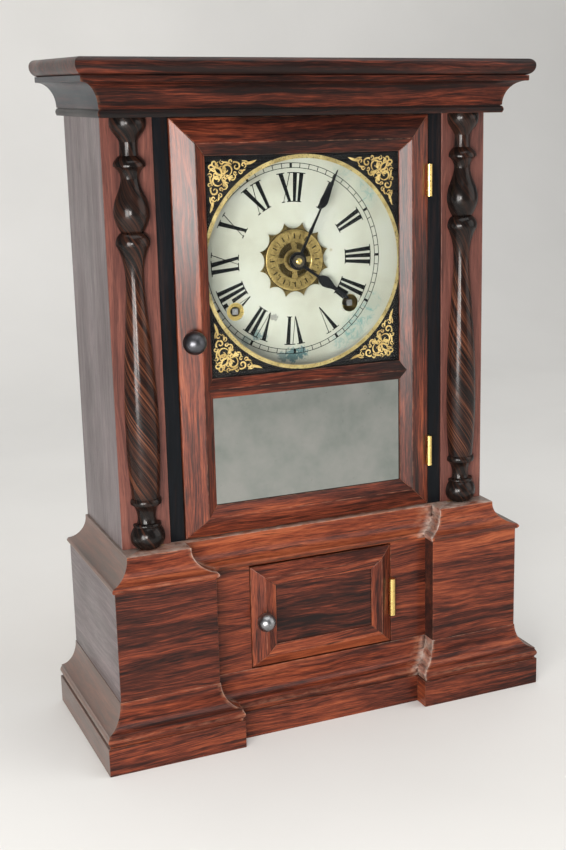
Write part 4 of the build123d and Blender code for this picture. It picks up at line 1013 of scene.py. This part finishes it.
# Radii of the painted shadow line round the stamped plate
RIM_SHADOW_INNER, RIM_SHADOW_OUTER = 20.2, 20.85


def stamped_ring(shape, profile, steps=120):
    """Adds a ring about the dial's axis from radius and rise pairs, risen from the alarm disc's front."""
    bm = bmesh.new()
    rows = []
    for step in range(steps):
        spots = [polar(radius, 360 * step / steps) for radius, rise in profile]
        rows.append([bm.verts.new((x * MM, (DISC_FRONT - rise) * MM, (dial_z + z) * MM))
                     for (x, z), (radius, rise) in zip(spots, profile)])
    skin(bm, rows, closed=True)
    shape.take(bm, {})


stamped = Shape()
stamped_ring(stamped, RIM_PROFILE)
stamped_ring(stamped, HUB_PROFILE)
stamped.piece("alarm_stamped_plate", "alarm_gold", "alarm_setting", smooth=True)

spokes = Shape()
for spoke in range(4):
    outline = [polar(radius, 90 * spoke + math.degrees(side * half / radius)) for (radius, half), side in
               ((SPOKE_ROOT, -1), (SPOKE_ROOT, 1), (SPOKE_END, 1), (SPOKE_END, -1))]
    prism(spokes, outline, DISC_FRONT - SPOKE_RISE, DISC_FRONT + SINK)
spokes.piece("alarm_spokes", "alarm_gold", "alarm_setting")

alarm_marks = Shape()
for mark in range(24):
    half = MARK_HALVES[mark % 2]
    outer_half = 0.8 * half
    ends = ((MARK_INNER, -half), (MARK_INNER, half), (MARK_OUTER, outer_half), (MARK_OUTER, -outer_half))
    outline = [polar(radius, 15 * mark + turn) for radius, turn in ends]
    prism(alarm_marks, outline, DISC_FRONT - MARK_RISE, DISC_FRONT - MARK_ROOT)
alarm_marks.piece("alarm_marks", "shaded_brass", "alarm_setting")

# Dark brass behind the disc's openings and in a thin line round the stamped plate: painted shade in the
# openings and a painted shadow of the plate
alarm_painted_shade = Shape()
band(alarm_painted_shade, OPENING_INNER, OPENING_OUTER, DISC_BACK - 0.02, DISC_BACK + 0.3, steps=96)
band(alarm_painted_shade, RIM_SHADOW_INNER, RIM_SHADOW_OUTER, DISC_FRONT - 0.15, DISC_FRONT + 0.02, steps=120)
alarm_painted_shade.piece("alarm_painted_shade", "shaded_brass", "alarm_setting")

# Polished tip at the middle of the hand nut
nut_front = least("hand_nut", "y")
TIP_RADIUS = 2.2
TIP_RISE = 1.0
nut_tip = Shape()
dome = bmesh.new()
bmesh.ops.create_uvsphere(dome, u_segments=32, v_segments=16, radius=1.0)
for vert in dome.verts:
    x, y, z = vert.co
    vert.co = Vector((TIP_RADIUS * x, TIP_RISE * y + nut_front, TIP_RADIUS * z + dial_z)) * MM
nut_tip.take(dome, {})
nut_tip.piece("hand_nut_tip", "bright_brass", node_body["hand_nut"], smooth=True)

# Brass washer behind the left winding hole
WASHER_INNER, WASHER_OUTER = 3.3, 7.6
WASHER_FRONT, WASHER_BACK = dial_y + 0.82, dial_y + 1.5
washer = Shape()
band(washer, WASHER_INNER, WASHER_OUTER, WASHER_FRONT, WASHER_BACK,
     centre=(-winding_x, winding_z - dial_z), steps=64)
washer.piece("winding_washer_left", "bright_brass", "case")

# Materials of the CAD nodes that stay as they are

carried = {
    "rosewood_top": ["top_board", "cornice_frieze"],
    "left_turning": ["left_column"],
    "right_turning": ["right_column"],
    "pine_z": ["base_floor", "case_floor", "inner_battens"],
    "bright_brass": ["door_hinge_leaves", "hinge_case_leaves", "hinge_pins", "base_door_hinge_leaf"],
    "hub": ["hand_nut"],
    "brass": ["back_plate", "front_plate", "centre_arbor", "escape_wheel", "fly", "hour_wheel",
              "minute_wheel", "pendulum_bob", "pin_wheel", "second_wheel", "third_wheel",
              "time_great_wheel", "strike_great_wheel"],
    "alarm_tips": ["alarm_disc"],
    "steel": ["door_latch", "mainsprings", "pendulum_rod", "plate_pillars", "screws", "strike_hammer",
              "strike_winding_arbor", "time_winding_arbor", "verge"],
    "blued_steel": ["hour_hand", "minute_hand"],
    "dark_knob": ["door_knob"],
    "grey_knob": ["base_door_knob"],
    "bell_metal": ["strike_bell"],
    "dial_paint": ["dial_plate"],
    "glass": ["dial_glass"],
    "mirror": ["mirror"],
}
for material, members in carried.items():
    for node in members:
        nodes[node].data.materials.clear()
        nodes[node].data.materials.append(materials[material])


# Floor, light and camera

def stage_material(name, colour, deeper):
    """Matt surface, a little uneven in tone."""
    n = Nodes(name)
    cloud = n.noise(n.position(), 3.0, detail=4)
    n.surface(Base_Color=n.mix(n.span(cloud, 0.3, 0.7), colour, deeper), Roughness=0.85)


FLOOR_FRONT = -4.0
FLOOR_BACK = 0.9
FLOOR_HALF = 5.0
BEND = 0.7
WALL_TOP = 4.0
section = [(FLOOR_FRONT, 0.0), (FLOOR_BACK, 0.0)]
section += [(FLOOR_BACK + BEND * math.sin(math.radians(a)), BEND - BEND * math.cos(math.radians(a)))
            for a in range(10, 91, 10)]
section += [(FLOOR_BACK + BEND, WALL_TOP)]
sweep = bpy.data.meshes.new("floor")
sweep.from_pydata([(x, y, z) for y, z in section for x in (-FLOOR_HALF, FLOOR_HALF)], [],
                  [(2 * k, 2 * k + 1, 2 * k + 3, 2 * k + 2) for k in range(len(section) - 1)])
sweep.shade_smooth()
stage_material("pale_floor", (0.80, 0.79, 0.77), (0.74, 0.73, 0.71))
sweep.materials.append(materials["pale_floor"])
floor = bpy.data.objects.new("floor", sweep)
bpy.context.scene.collection.objects.link(floor)


def soft_light(name, place, target, size, energy, colour):
    """Adds a rectangular lamp that faces a target."""
    lamp = bpy.data.lights.new(name, "AREA")
    lamp.shape = "RECTANGLE"
    lamp.size, lamp.size_y = size
    lamp.energy = energy
    lamp.color = colour
    made = bpy.data.objects.new(name, lamp)
    made.location = place
    made.rotation_euler = (Vector(target) - Vector(place)).to_track_quat("-Z", "Y").to_euler()
    bpy.context.scene.collection.objects.link(made)


clock_middle = (0.0, 0.0, 0.22)
soft_light("overhead", (0.1, -0.25, 2.1), (0.0, 0.0, 0.0), (2.2, 2.2), 33.0, (1.0, 0.99, 0.97))
soft_light("camera_softbox", (-0.56, -1.07, 0.31), clock_middle, (0.20, 0.26), 6.5, (1.0, 0.97, 0.93))
soft_light("left_panel", (-0.97, -0.96, 0.26), clock_middle, (0.45, 0.55), 14.0, (1.0, 0.97, 0.94))
soft_light("right_fill", (1.3, -0.9, 0.7), clock_middle, (1.3, 1.3), 8.0, (1.0, 0.97, 0.93))

world = bpy.data.worlds.new("studio")
world.use_nodes = True
world.node_tree.nodes["Background"].inputs["Color"].default_value = (0.86, 0.90, 0.95, 1.0)
world.node_tree.nodes["Background"].inputs["Strength"].default_value = 0.2
bpy.context.scene.world = world

# Camera as solved from the photo: angles, a point on its line of sight and the distance to it
AZIMUTH, ELEVATION, ROLL = (math.radians(degrees) for degrees in (-26.36, 13.83, -0.31))
AIM = Vector((0.07459, 0.004, 0.18651))
DISTANCE = 0.9817
away = Vector((math.sin(AZIMUTH) * math.cos(ELEVATION), -math.cos(AZIMUTH) * math.cos(ELEVATION),
               math.sin(ELEVATION)))
level_right = Vector((math.cos(AZIMUTH), math.sin(AZIMUTH), 0.0))
level_up = away.cross(level_right)
right = math.cos(ROLL) * level_right + math.sin(ROLL) * level_up
up = math.cos(ROLL) * level_up - math.sin(ROLL) * level_right
eye = AIM + away * DISTANCE
camera_data = bpy.data.cameras.new("camera")
camera_data.sensor_width = 36.0
camera_data.lens = 58.20
camera_data.shift_x = -0.1272
camera_data.shift_y = 0.0024
camera = bpy.data.objects.new("camera", camera_data)
camera.matrix_world = Matrix.Translation(eye) @ Matrix((right, up, away)).transposed().to_4x4()
bpy.context.scene.collection.objects.link(camera)
bpy.context.scene.camera = camera
bpy.context.scene.view_settings.view_transform = "Standard"
